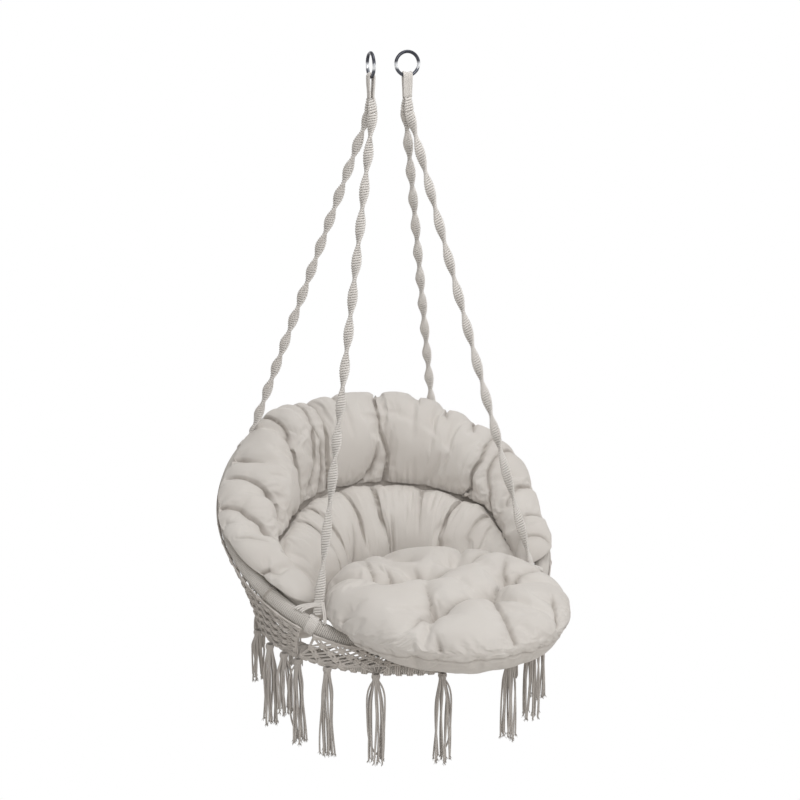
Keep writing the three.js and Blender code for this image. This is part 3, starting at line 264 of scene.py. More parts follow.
# Plain steel tube, hidden under the winding: drawn steel with a faint mill scale.
def steelMaterial(name):
    material, tree, shader = newMaterial(name)
    place = addNode(tree, "TexCoord", {}, "Object")
    scale = addNode(tree, "TexNoise", {"Vector": place, "Scale": 60.0, "Detail": 5.0})
    colour = addNode(tree, "Mix", {0: scale, 6: linear("#8C8983"), 7: linear("#6F6C68")}, 2, data_type="RGBA")
    rough = addNode(tree, "Math", {0: scale, 1: 0.3, 2: 0.35}, operation="MULTIPLY_ADD")
    fillInputs(tree, shader, {"Base Color": colour, "Roughness": rough, "Metallic": 0.6})
    return material


ropeCord = cordMaterial("ropeCottonCord", "#EFECE8", "#DDD8D3")
netCord = cordMaterial("netCottonCord", "#E6E1DC", "#C8C1BA", laidLength=0.009)
tasselCord = cordMaterial("tasselCottonCord", "#D8D3CE", "#B5AFA9", laidLength=0.010)
windingCord = cordMaterial("windingCottonCord", "#E4E0DB", "#CBC6C0", laidLength=0.010, layDepth=0.0003)
cushionCloth = clothMaterial("cushionPlainWeave", "#DCD8D3", "#CFC9C3", "#75685C")
tieCloth = cordMaterial("tieCottonTape", "#CEC8C1", "#B5ADA5")
chrome = chromeMaterial("chromedSteelPaintedReflection")
steel = steelMaterial("drawnSteel")
print("materials made")

# Camera: at the photo's angle, 81 mm lens on a 36 mm sensor.
view = {"place": (-1.8174, -3.5735, 0.2531), "target": (0.036, 0.0174, -0.792), "lens": 81}
cameraData = bpy.data.cameras.new("photoView")
cameraData.lens = view["lens"]
cameraData.sensor_width = 36
camera = bpy.data.objects.new("photoView", cameraData)
scene.collection.objects.link(camera)


def aim(thing, place, target):
    thing.location = place
    thing.rotation_euler = (Vector(target) - Vector(place)).to_track_quat("-Z", "Y").to_euler()


aim(camera, view["place"], view["target"])
scene.camera = camera

# Soft studio light: large panels at the front left, right, above and behind, and a pale room.
studio = {"aimedAt": (0.0, -0.1, -1.0), "room": "#F4F2EF", "roomLight": 0.43,
          "floorSize": 40.0, "floorHeight": -2.2, "floor": "#E9E6E2"}
panels = [
    {"name": "keyPanel", "place": (-1.0, -3.6, 1.3), "size": 2.0, "power": 52},
    {"name": "fillPanel", "place": (2.8, -2.6, 0.2), "size": 2.4, "power": 16},
    {"name": "topPanel", "place": (0.6, -0.7, 2.4), "size": 2.2, "power": 46},
    {"name": "rearPanel", "place": (0.5, 3.0, 0.6), "size": 2.0, "power": 14},
]
for panel in panels:
    light = bpy.data.lights.new(panel["name"], "AREA")
    light.shape = "SQUARE"
    light.size = panel["size"]
    light.energy = panel["power"]
    lamp = bpy.data.objects.new(panel["name"], light)
    scene.collection.objects.link(lamp)
    aim(lamp, panel["place"], studio["aimedAt"])


# White where the camera, a mirror or clear material looks at it, softer where it gives light.
def seenWhite(tree, lit, white):
    seen = addNode(tree, "LightPath", {}, "Is Camera Ray")
    for ray in ("Is Glossy Ray", "Is Transmission Ray"):
        seen = addNode(tree, "Math", {0: seen, 1: addNode(tree, "LightPath", {}, ray)}, operation="MAXIMUM")
    return addNode(tree, "MixShader", {0: seen, 1: lit, 2: white})


world = bpy.data.worlds.new("studio")
scene.world = world
world.use_nodes = True
worldTree = world.node_tree
soft = worldTree.nodes["Background"]
fillInputs(worldTree, soft, {0: linear(studio["room"]), 1: studio["roomLight"]})
white = addNode(worldTree, "Background", {0: (1, 1, 1, 1), 1: 1.0})
worldTree.links.new(seenWhite(worldTree, soft.outputs[0], white),
                    worldTree.nodes["World Output"].inputs[0])

corners = np.array([[-1, -1, 0], [1, -1, 0], [-1, 1, 0], [1, 1, 0]]) * studio["floorSize"] / 2
corners[:, 2] = studio["floorHeight"]
floorUv = np.array([[0.0, 1.0], [0.0, 1.0]])
floorMesh = makeMesh("floor", [gridPart(corners.reshape(2, 2, 3), floorUv, floorUv.T)])
floor = bpy.data.objects.new("floor", floorMesh)
scene.collection.objects.link(floor)
floorMaterial, floorTree, floorShader = newMaterial("paleFloor")
fillInputs(floorTree, floorShader, {"Base Color": linear(studio["floor"]), "Roughness": 0.9})
floorWhite = addNode(floorTree, "Emission", {0: (1, 1, 1, 1), 1: 1.0})
floorTree.links.new(seenWhite(floorTree, floorShader.outputs[0], floorWhite),
                    floorTree.nodes["Material Output"].inputs[0])
floorMesh.materials.append(floorMaterial)
print("camera, light and floor placed")


# The two hoops. Angle 0 is the chair's right side, a quarter turn its back. The seat hoop's
# front lies ahead of the large hoop's and a little lower.
hoops = {
    "windingThickness": 0.004,
    "large": {"middle": (0, 0.0174, -1.086), "radius": 0.382, "bore": 0.01435, "lean": 31.5},
    "seat": {"radius": 0.308, "bore": 0.01135, "lean": 2, "lead": 0.0363, "drop": 0.0064},
    "fit": 0.002,  # between a winding and the net that follows it
    "hang": math.radians(-12),  # of the tassels' knots from the seat hoop, from level
    "touchGap": 0.0003,  # between two pieces that touch
    "stationDegrees": 9,  # from one corner of the CAD hoops to the next
}


def makeHoop(spec, middle):
    lean = math.radians(spec["lean"])
    return {
        "middle": np.array(middle), "radius": spec["radius"],
        "winding": spec["bore"] + hoops["windingThickness"], "slope": math.tan(lean),
        "back": np.array([0, math.cos(lean), math.sin(lean)]),
        "axis": np.array([0, -math.sin(lean), math.cos(lean)]),
    }


largeHoop = makeHoop(hoops["large"], hoops["large"]["middle"])
hoopFront = largeHoop["middle"] - largeHoop["back"] * largeHoop["radius"]
seatHoop = makeHoop(hoops["seat"], (0, hoopFront[1] - hoops["seat"]["lead"] + hoops["seat"]["radius"],
                                    hoopFront[2] - hoops["seat"]["drop"]))
hoopFit, hang, touchGap = hoops["fit"], hoops["hang"], hoops["touchGap"]
sideways = np.array([1.0, 0, 0])
upright = np.array([0, 0, 1.0])


def outward(hoop, angle):
    return column(np.cos(angle)) * sideways + column(np.sin(angle)) * hoop["back"]


def forward(hoop, angle):
    return column(-np.sin(angle)) * sideways + column(np.cos(angle)) * hoop["back"]


def hoopPoint(hoop, angle):
    return hoop["middle"] + outward(hoop, angle) * hoop["radius"]


# Where a cord square to the large hoop comes down on the seat hoop: the angle whose point has
# the same distance along the large hoop's direction there.
def seatAngleBelow(angle):
    along = forward(largeHoop, angle)
    across, deep = along @ sideways, along @ seatHoop["back"]
    reach = np.sum(along * (hoopPoint(largeHoop, angle) - seatHoop["middle"]), -1) / seatHoop["radius"]
    below = np.arctan2(deep, across) - np.arccos(reach / np.hypot(across, deep))
    return below + turn * np.round((angle - below) / turn)


def wallFrame(angle):
    large = hoopPoint(largeHoop, angle)
    below = seatAngleBelow(angle)
    small = hoopPoint(seatHoop, below)
    outOfWall = unit(np.cross(unit(small - large), forward(largeHoop, angle)))
    seatAlong = forward(seatHoop, below)
    outOfSeat = unit(outOfWall - dot(outOfWall, seatAlong) * seatAlong)
    return large, small, below, outOfWall, outOfSeat


# The wall net's surface: straight from the large hoop's outer side to the seat hoop's.
def wallPoint(angle, share, lift):
    large, small, below, outOfWall, outOfSeat = wallFrame(angle)
    high = large + outOfWall * column(largeHoop["winding"] + hoopFit + lift)
    low = small + outOfSeat * column(seatHoop["winding"] + hoopFit + lift)
    return mix(high, low, column(share))


# Below the wall the net points wrap the seat hoop towards their tassels.
def pointOnSeatHoop(angle, share, lift):
    large, small, below, outOfWall, outOfSeat = wallFrame(angle)
    out = outward(seatHoop, below)
    edge = np.arctan2(outOfSeat @ seatHoop["axis"], np.sum(outOfSeat * out, -1))
    bend = mix(edge, np.minimum(hang, edge) + hang, share)
    reach = column(seatHoop["winding"] + hoopFit + lift)
    return small + out * column(np.cos(bend)) * reach + seatHoop["axis"] * column(np.sin(bend)) * reach


# The CAD hoops are chains of straight chords. A point on one at a given angle, its direction,
# and the way out from the hoop at the chord's middle.
def hoopChord(hoop, degrees):
    step = hoops["stationDegrees"]
    before = math.floor(degrees / step) * step
    ends = hoopPoint(hoop, np.radians([before, before + step]))
    out = outward(hoop, np.array(math.radians(before + step / 2)))
    return mix(ends[0], ends[1], (degrees - before) / step), unit(ends[1] - ends[0]), out


# Coils: a cord wound round an oval core. The core's middle, wide direction and thin direction
# are given at every step, and the cord's place on the oval is its angle there.
def coil(middles, wide, thin, halfWide, halfThin, angles, cord, reference, sides=6, across=1.0):
    paths = middles + wide * column(np.cos(angles) * halfWide) + thin * column(np.sin(angles) * halfThin)
    return sweep(paths[None], reference, cord * across, cord, sides)


# Hitches and ties sit on the winding in ten-sided bores, whose flats just clear it. Angles are
# those of the ropes on the large hoop, from its right side.
hitch = {"front": 40.5, "rear": 49.5, "width": 0.026, "thickness": 0.006, "turns": 7, "pointsPerTurn": 28}
boreReach = (largeHoop["winding"] + touchGap) / math.cos(math.pi / 10)
hitchReach = boreReach + hitch["thickness"]
seatNetTop = 0.011  # the seat net's upper side, below the seat hoop's middle plane


# Cushions come first, while the scene is small enough for the cloth simulation to step quickly.
def readValues(data, key, width=3):
    values = np.empty(len(data) * width, np.float32)
    data.foreach_get(key, values)
    return values.reshape(-1, width).astype(float)


def readPoints(piece):
    return readValues(piece.data.vertices, "co")


def writePoints(piece, points):
    piece.data.vertices.foreach_set("co", points.astype(np.float32).ravel())
    piece.data.update()


# A named place or number at every point, which lasts through welding and subdivision. "rest" is
# where the point lies before the skin is grooved or puffed.
def keepValues(piece, name, values):
    kind, key = ("FLOAT_VECTOR", "vector") if values.ndim > 1 else ("FLOAT", "value")
    layer = piece.data.attributes.new(name, kind, "POINT")
    layer.data.foreach_set(key, values.astype(np.float32).ravel())


def readRest(piece):
    return readValues(piece.data.attributes["rest"].data, "vector")


# A line's corners carry two places on a skin and a depth in millimetres; they are joined by
# straight runs of even steps.
def drawLine(corners, skin, steps=14):
    corners = np.array(corners, float)
    count = (len(corners) - 1) * steps + 1
    at = np.linspace(0, len(corners) - 1, count)
    known = np.arange(len(corners))
    first, second, depth = (np.interp(at, known, corners[:, i]) for i in range(3))
    return np.concatenate([skin(first, second), depth[:, None] / 1000], 1)


# Distance from every point to the nearest of all lines, and that line's depth there.
def nearestLine(rest, lines, reach):
    gap = np.full(len(rest), 9.0)
    depth = np.zeros(len(rest))
    for line in lines:
        place = line[:, :3]
        near = np.nonzero(np.all((rest > place.min(0) - reach) & (rest < place.max(0) + reach), 1))[0]
        for part in np.array_split(near, len(near) // 20000 + 1):
            away = np.linalg.norm(rest[part][:, None] - place[None], axis=-1)
            nearest = away.argmin(1)
            away = away[np.arange(len(part)), nearest]
            closer = away < gap[part]
            gap[part[closer]] = away[closer]
            depth[part[closer]] = line[nearest[closer], 3]
    return gap, depth


# Folds in both cushions. Each is first a broad soft groove and, once the skin is puffed and finer, a sharp
# one; its painted shade in the cloth's colour is a narrow bell across the line and a wide faint one. Lengths
# are metres, "reach" and what says widths are in widths of the groove or the shade.
folds = {
    "search": 0.03, "softWidth": 0.016, "sharpWidth": 0.0029, "sharpShare": 0.8, "swell": 0.14,
    "reach": 6, "swellAt": 2.6, "swellWidths": 1.2,
    "shadeWidth": 0.0024, "shadeFull": 0.009, "shadeReach": 12, "narrow": 0.74, "wide": 0.26, "wideWidths": 5,
}


# How deep each point lies in a fold, kept as the "fold" attribute that paints shade into the cloth's colour.
def keepFoldShade(piece, lines):
    width = folds["shadeWidth"]
    gap, depth = nearestLine(readRest(piece), lines, width * folds["shadeReach"])
    narrow = folds["narrow"] * np.exp(-((gap / width) ** 2))
    wide = folds["wide"] * np.exp(-((gap / width / folds["wideWidths"]) ** 2))
    keepValues(piece, "fold", np.minimum(1, depth / folds["shadeFull"]) * (narrow + wide))


# A groove sinks the skin along its normal by the line's depth times a share, over one plus the
# square of the distance in widths, and ends at its reach; beside it the skin swells a little.
def carve(piece, lines, width, share, swell=0.0):
    normals = readValues(piece.data.vertices, "normal")
    gap, depth = nearestLine(readRest(piece), lines, width * folds["reach"])
    sink = depth * share / (1 + (gap / width) ** 2) * smooth(folds["reach"] / 2 - gap / (width * 2))
    rise = depth * swell * np.exp(-((gap / width - folds["swellAt"]) / folds["swellWidths"]) ** 2)
    writePoints(piece, readPoints(piece) - normals * column(sink - rise))


# Air pressure inside a skin that has a little too much cloth, held where it is sewn or rests on something,
# puckers it round its tufts and channels. No point moves further than the cap.
def puff(piece, held, spec):
    start = readPoints(piece)
    group = piece.vertex_groups.new(name="sewn")
    group.add(np.nonzero(held)[0].tolist(), 1.0, "REPLACE")
    cloth = piece.modifiers.new("cloth", "CLOTH")
    settings = cloth.settings
    settings.quality = 6
    settings.mass = 0.12
    settings.tension_stiffness = 12
    settings.compression_stiffness = spec["compression"]
    settings.shear_stiffness = 4
    settings.bending_stiffness = spec["bending"]
    settings.air_damping = 3
    settings.use_pressure = True
    settings.uniform_pressure_force = spec["pressure"]
    settings.shrink_min = -spec["slack"]
    settings.vertex_group_mass = "sewn"
    settings.effector_weights.gravity = 0
    for step in range(1, spec["frames"] + 1):
        scene.frame_set(step)
    graph = bpy.context.evaluated_depsgraph_get()
    moved = readPoints(piece.evaluated_get(graph)) - start
    size = np.linalg.norm(moved, axis=-1, keepdims=True)
    moved = moved * np.minimum(1, spec["cap"] / np.maximum(size, 1e-9))
    piece.modifiers.remove(cloth)
    piece.vertex_groups.clear()
    writePoints(piece, start + moved)
    scene.frame_set(1)


def subdivide(piece):
    modifier = piece.modifiers.new("rounding", "SUBSURF")
    modifier.levels = 1
    modifier.render_levels = 1
    graph = bpy.context.evaluated_depsgraph_get()
    fresh = bpy.data.meshes.new_from_object(piece.evaluated_get(graph))
    piece.modifiers.clear()
    piece.data = fresh


def weld(piece):
    work = bmesh.new()
    work.from_mesh(piece.data)
    bmesh.ops.remove_doubles(work, verts=work.verts, dist=1e-5)
    bmesh.ops.recalc_face_normals(work, faces=work.faces)
    work.to_mesh(piece.data)
    work.free()


# Seat cushion. Places are shares of its half width and half depth. Lobes add a lift and a
# spread in metres, and lines, which are folds and valleys, a depth in millimetres. "hold" says
# which points the cloth can't move: within these distances of tufts, deep lines and the seam,
# and where the cushion rests.
seatPad = {
    "halfWidth": 0.270, "halfDepth": 0.292, "rise": 0.064, "drop": 0.070, "overhang": 0.259,
    "seamHeight": -1.19318, "crown": 2.6, "under": 0.78, "sagRun": 0.130, "grid": 104, "gridPower": 0.9,
    "tufts": [[-0.36, 0.22], [-0.1, 0.2], [-0.33, -0.4], [0.51, -0.14], [0.21, -0.33], [0.3, 0.36],
              [-0.05, 0.62]],
    "tuftDepth": 0.029, "tuftSpread": 0.034, "foldDepth": 0.013, "foldSpread": 0.017,
    "foldFade": 6, "lobeFade": 8, "softShare": 0.75,
    "lobes": [(-0.66, 0.44, 0.030, 0.080), (0.0, 0.78, 0.012, 0.090), (0.62, 0.42, 0.014, 0.100),
              (0.80, 0.0, 0.010, 0.080)],
    "seam": {"drop": 0.018, "share": 0.974, "depth": 0.0035, "degrees": (185, 355), "steps": 400,
             "width": 0.0024, "sink": 0.9, "swell": 0.25},
    "hold": {"above": 0.002, "tuft": 0.007, "line": 0.005, "lineDepth": 0.008, "seam": 0.003,
             "restBelow": -0.045, "restBehind": -0.10},
    "puff": {"pressure": 3.0, "slack": 0.07, "bending": 0.25, "compression": 6, "frames": 22, "cap": 0.020},
    "lines": [
        [(-0.93, 0.50, 4), (-0.77, 0.48, 10), (-0.58, 0.30, 12), (-0.36, 0.21, 14), (-0.10, 0.19, 14),
         (0.10, 0.19, 13), (0.33, 0.28, 11), (0.55, 0.37, 8), (0.75, 0.45, 3)],
        [(-0.47, 0.24, 11), (-0.47, 0.40, 9), (-0.33, 0.78, 2)],
        [(-0.36, 0.22, 12), (-0.33, 0.32, 8), (-0.31, 0.46, 1)],
        [(-0.10, 0.20, 12), (-0.09, 0.36, 3)],
        [(-0.22, -0.06, 4), (-0.28, -0.22, 9), (-0.33, -0.40, 13)],
        [(-0.33, -0.40, 14), (-0.09, -0.39, 11), (0.21, -0.33, 13), (0.40, -0.19, 11), (0.51, -0.14, 14)],
        [(-0.33, -0.40, 13), (-0.46, -0.46, 8), (-0.63, -0.55, 2)],
        [(0.51, -0.14, 14), (0.55, -0.02, 11), (0.64, 0.12, 6), (0.75, 0.27, 1)],
        [(0.51, -0.14, 13), (0.75, -0.04, 6), (0.93, 0.00, 2)],
        [(0.21, -0.33, 14), (0.14, -0.55, 13), (0.09, -0.76, 13), (0.05, -0.92, 12), (0.04, -0.985, 8)],
        [(0.21, -0.33, 12), (0.24, -0.55, 4)],
        [(0.68, -0.50, 2), (0.64, -0.60, 8), (0.57, -0.75, 9), (0.52, -0.84, 6)],
        [(-0.98, -0.04, 5), (-0.90, -0.16, 1)],
        [(-0.50, -0.70, 1), (-0.54, -0.83, 7)],
    ],
}
seatPad["middle"] = np.array([0, hoopFront[1] - seatPad["overhang"] + seatPad["halfDepth"],
                              seatPad["seamHeight"]])


# Seat cushion's upper side: rise times the root of 1 - share^crown, less a bell at each tuft
# and a groove from each tuft outwards to the seam.
def seatTop(x, y, share):
    height = seatPad["rise"] * np.sqrt(np.maximum(0, 1 - share ** seatPad["crown"]))
    for across, deep in seatPad["tufts"]:
        tuft = np.array([across * seatPad["halfWidth"], deep * seatPad["halfDepth"]])
        reach = np.linalg.norm(tuft)
        direction = tuft / reach
        near = ((x - tuft[0]) ** 2 + (y - tuft[1]) ** 2) / seatPad["tuftSpread"] ** 2
        height = height - seatPad["tuftDepth"] * np.exp(-near)
        along = x * direction[0] + y * direction[1]
        off = x * direction[1] - y * direction[0]
        past = smooth((along - reach) / seatPad["tuftSpread"] + 1)
        groove = np.exp(-((off / seatPad["foldSpread"]) ** 2)) * (1 - share ** seatPad["foldFade"])
        height = height - seatPad["foldDepth"] * past * groove
    for across, deep, lift, spread in seatPad["lobes"]:
        near = (x - across * seatPad["halfWidth"]) ** 2 + (y - deep * seatPad["halfDepth"]) ** 2
        height = height + lift * np.exp(-near / spread ** 2) * (1 - share ** seatPad["lobeFade"])
    return height


# Its underside: as round as the top in front of the large hoop, narrower between the hoop's
# rising sides behind it, and down on the seat net there.
def seatBottom(x, y, share):
    middle = seatPad["middle"]
    fromHoop = hoopFront[1] - middle[1]
    behind = smooth((y - fromHoop) / (2 * largeHoop["winding"]) + 1)
    full = np.sqrt(np.maximum(0, 1 - share ** seatPad["crown"]))
    form = mix(full, np.maximum(0, 1 - share ** 2) ** seatPad["under"], behind)
    netTop = seatHoop["middle"][2] - seatNetTop + (middle[1] + y - seatHoop["middle"][1]) * seatHoop["slope"]
    sag = smooth((y - fromHoop - largeHoop["winding"]) / seatPad["sagRun"])
    return -mix(seatPad["drop"], middle[2] - netTop - touchGap, sag) * form


# A square grid drawn onto a disc, so that the cushion has no pole: the larger of the two
# coordinates is the radius, and their ratio the direction.
def discGrid(count):
    a, b = np.meshgrid(np.linspace(-1, 1, count), np.linspace(-1, 1, count), indexing="ij")
    flat = np.hypot(a, b) + 1e-12
    radius = np.maximum(abs(a), abs(b))
    return a / flat * radius, b / flat * radius, radius


def seatSkin(across, deep):
    x, y = across * seatPad["halfWidth"], deep * seatPad["halfDepth"]
    return np.stack([x, y, seatTop(x, y, np.minimum(1, np.hypot(across, deep)))], -1) + seatPad["middle"]


def makeSeatPad():
    spec = seatPad
    px, py, radius = discGrid(spec["grid"])
    share = np.sin(radius * math.pi / 2) ** spec["gridPower"]
    stretch = share / np.maximum(radius, 1e-9)
    x, y = px * stretch * spec["halfWidth"], py * stretch * spec["halfDepth"]
    top = np.stack([x, y, seatTop(x, y, share)], -1) + spec["middle"]
    low = np.stack([x, y, seatBottom(x, y, share)], -1) + spec["middle"]
    parts = [gridPart(top, x, y, flip=True), gridPart(low, x, y)]
    piece = addPiece("seatCushion", parts, cushionCloth, "chair", ["seat_cushion"])
    weld(piece)
    return piece


seatCushion = makeSeatPad()
seatRest = readPoints(seatCushion)
keepValues(seatCushion, "rest", seatRest)
seatLines = [drawLine(line, seatSkin) for line in seatPad["lines"]]
# Its side seam shows along the front, a little below the widest place, as a groove and a line of painted
# shade.
seam = seatPad["seam"]
seamTurn = np.radians(np.linspace(*seam["degrees"], seam["steps"]))
seatSeam = np.stack([
    np.cos(seamTurn) * seam["share"] * seatPad["halfWidth"],
    np.sin(seamTurn) * seam["share"] * seatPad["halfDepth"],
    0 * seamTurn - seam["drop"],
    0 * seamTurn + seam["depth"],
], -1) + np.append(seatPad["middle"], 0)
hold = seatPad["hold"]
seatPlaces = seatRest - seatPad["middle"]
tuftPlaces = np.array(seatPad["tufts"]) * [seatPad["halfWidth"], seatPad["halfDepth"]]
tuftGap = np.min(np.linalg.norm(seatPlaces[:, None, :2] - tuftPlaces[None], axis=-1), 1)
lineGap, lineDepth = nearestLine(seatRest, seatLines, folds["search"])
carve(seatCushion, seatLines, folds["softWidth"], seatPad["softShare"])
sewn = (tuftGap < hold["tuft"]) | ((lineGap < hold["line"]) & (lineDepth > hold["lineDepth"]))
sewn &= seatPlaces[:, 2] > hold["above"]
resting = (seatPlaces[:, 2] < hold["restBelow"]) & (seatPlaces[:, 1] > hold["restBehind"])
puff(seatCushion, sewn | (abs(seatPlaces[:, 2]) < hold["seam"]) | resting, seatPad["puff"])
subdivide(seatCushion)
carve(seatCushion, seatLines, folds["sharpWidth"], folds["sharpShare"], folds["swell"])
carve(seatCushion, [seatSeam], seam["width"], seam["sink"], seam["swell"])
keepFoldShade(seatCushion, seatLines + [seatSeam])
print("seat cushion made")

# Back cushion: a horseshoe of two tiers. By angle on the large hoop in degrees: the height of
# its top above the hoop's middle line, how far it folds outwards over the hoop, and the upper
# and lower tiers' depths, all in millimetres. Lines are sewn channels and pleats: angle, place
# round the section (0 rear, 1 crease, 2 rear again), depth in millimetres. Gathers ripple the
# skin: place round the section, spread there, height in metres. Channels dip the top and, from
# "channelFrom" round the section onwards, the front.
backPad = {
    "form": [
        (-40, 68, 20, 30, 40), (-30, 66, 50, 38, 52), (-22, 62, 45, 58, 88), (-12, 60, 39, 76, 120),
        (0, 68, 50, 98, 160), (10, 86, 66, 114, 182), (20, 88, 68, 122, 200), (30, 82, 60, 124, 200),
        (40, 78, 54, 124, 200), (50, 74, 46, 124, 200), (60, 68, 42, 124, 200), (70, 60, 40, 124, 200),
        (80, 52, 40, 124, 200), (90, 48, 40, 124, 200), (100, 50, 42, 124, 200), (108, 56, 44, 124, 200),
        (116, 68, 50, 126, 200), (124, 72, 54, 128, 200), (132, 62, 46, 130, 200), (140, 56, 46, 130, 200),
        (150, 58, 52, 128, 200), (160, 62, 56, 122, 200), (168, 65, 58, 110, 190), (174, 66, 58, 98, 178),
        (180, 66, 58, 82, 160), (186, 66, 55, 70, 140), (194, 66, 48, 62, 115), (202, 66, 40, 64, 90),
        (210, 66, 32, 62, 66), (220, 66, 20, 50, 50),
    ],
    "bulge": 0.008, "creaseDrop": 0.150, "creaseOverlap": 0.013, "armCreaseLift": 0.008,
    "lowestCrease": 0.15, "lipLift": 0.021, "lipSlope": 0.012, "seatInset": 0.006, "armLow": 0.1,
    "endGap": 0.002, "tieRoom": 0.012, "rounding": 0.052, "roundness": 0.88, "upperCrease": 45,
    "lowerCrease": 80, "tip": 0.35, "columns": 400, "lowerSteps": 44, "upperSteps": 50, "stepPower": 1.35,
    "channels": [-22, 0, 19, 31, 43, 55, 71, 92, 103, 117, 131, 149, 167, 186, 205],
    "channelDepth": 0.007, "channelFrom": 1.25, "channelFade": 0.3, "channelSpread": 0.020, "topDip": 0.006,
    "gathers": [(0.92, 0.07, 0.0028), (1.07, 0.05, 0.0022), (1.72, 0.10, 0.0022)],
    "overPad": 0.030, "overPadRise": 0.030, "softShare": 0.65, "lineSteps": 18,
    "crease": {"degrees": (-34, 214), "steps": 300, "depth": 0.012, "offset": 0.0001},
    "hold": {"line": 0.004, "lineDepth": 0.0085, "crease": 0.004, "hoopDepth": 0.012, "aboveHoop": 0.020},
    "puff": {"pressure": 2.5, "slack": 0.05, "bending": 0.4, "compression": 6, "frames": 20, "cap": 0.020},
    "lines": [
        [(123, 1.788, 7), (126, 1.63, 10), (130.4, 1.474, 13), (135.8, 1.356, 14), (136.3, 1.228, 14),
         (136.1, 1.048, 14)],
        [(107, 1.81, 7), (110.4, 1.656, 10), (114.1, 1.394, 10), (112.6, 1.291, 3)],
        [(115, 1.386, 3), (115.8, 1.352, 9), (117.6, 1.198, 13), (122.1, 1.126, 13), (130, 1.006, 14)],
        [(111.8, 1.323, 2), (111.3, 1.202, 11), (112.7, 1.114, 12), (115, 1, 13)],
        [(101, 1.831, 7), (103.6, 1.669, 11), (104.7, 1.457, 11), (106.4, 1.292, 9), (107.8, 1.198, 9),
         (106, 1, 13)],
        [(71.5, 1.831, 9), (71.9, 1.656, 14), (74.7, 1.504, 12), (73.9, 1.284, 10), (69.9, 1.186, 10),
         (72, 1, 14)],
        [(76.5, 1.228, 2), (77.6, 1.16, 9), (79.9, 1.109, 11), (84.1, 1.037, 10), (88, 1, 10)],
        [(91, 1.788, 7), (92, 1.64, 5), (93, 1.471, 1)],
        [(55, 1.788, 8), (54, 1.64, 8), (52, 1.503, 2)],
        [(42, 1.831, 10), (40.2, 1.64, 12), (36.2, 1.5, 2)],
        [(29.5, 1.831, 10), (27.9, 1.669, 12), (22.5, 1.563, 3)],
        [(18.5, 1.831, 10), (16.8, 1.635, 8), (9.3, 1.457, 12), (9.1, 1.343, 14), (9.9, 1.152, 14),
         (19, 1, 14)],
        [(10.5, 1.788, 9), (9.1, 1.622, 7), (3.9, 1.466, 10), (-4.1, 1.339, 9), (-6, 1.154, 9)],
        [(-3, 1.852, 9), (-5, 1.64, 8), (-12, 1.45, 5)],
        [(-17, 1.852, 9), (-18, 1.64, 9), (-22, 1.45, 5)],
        [(-30, 1.852, 8), (-30, 1.64, 8), (-31, 1.45, 5)],
        [(145, 1.831, 8), (148, 1.683, 9), (150, 1.556, 3)],
        [(156, 1.788, 5), (160, 1.619, 12), (165.5, 1.492, 16), (168.4, 1.411, 17), (176, 1.26, 16)],
        [(170.1, 1.852, 8), (171.5, 1.778, 7), (174.9, 1.662, 14), (179.5, 1.598, 15), (185, 1.492, 16),
         (188, 1.365, 12)],
        [(186, 1.81, 3), (189, 1.683, 6), (193, 1.556, 2)],
        [(200, 1.92, 10), (202, 1.80, 9), (206, 1.66, 2)],
        [(101.3, 1, 12), (98.1, 0.793, 8), (99, 0.704, 3)],
        [(109, 0.787, 2), (110.1, 0.749, 5), (113.8, 0.66, 6), (115, 0.568, 4)],
        [(80.5, 1, 11), (80.1, 0.796, 8), (75.6, 0.709, 6), (74, 0.568, 2)],
        [(71, 0.796, 2), (70.7, 0.756, 5), (70.4, 0.675, 6), (70, 0.568, 2)],
        [(20, 1, 14), (15.9, 1, 13), (15.3, 0.824, 9), (17, 0.732, 7), (18, 0.604, 4)],
        [(48, 1, 8), (47, 0.824, 4), (46, 0.732, 1)],
        [(133, 1, 12), (129, 0.806, 7), (128, 0.696, 4), (127, 0.568, 2)],
        [(152, 1, 12), (153, 0.814, 7), (150, 0.714, 4), (149, 0.604, 2)],
        [(-6, 1, 9), (-5, 0.824, 5), (-3, 0.732, 2)],
    ],
}
backForm = np.array(backPad["form"], float)


# How far a level line runs inwards before it meets the seat cushion's outline: the smaller root
# of the ellipse's equation along the line.
def roomToSeatCushion(start, inward):
    middle = seatPad["middle"]
    wide, deep = seatPad["halfWidth"], seatPad["halfDepth"]
    fromX, fromY = (start[..., 0] - middle[0]) / wide, (start[..., 1] - middle[1]) / deep
    stepX, stepY = inward[..., 0] / wide, inward[..., 1] / deep
    a = stepX ** 2 + stepY ** 2
    b = fromX * stepX + fromY * stepY
    root = b ** 2 - a * (fromX ** 2 + fromY ** 2 - 1)
    room = (-b - np.sqrt(np.maximum(root, 0))) / a
    return np.where((root < 0) | (b > 0), 1e9, room)


# The angles at which it ends, clear of the front ropes.
def backEnds():
    clear = (backPad["tieRoom"] + backPad["endGap"]) / largeHoop["radius"]
    return -math.radians(hitch["front"]) + clear, math.pi + math.radians(hitch["front"]) - clear


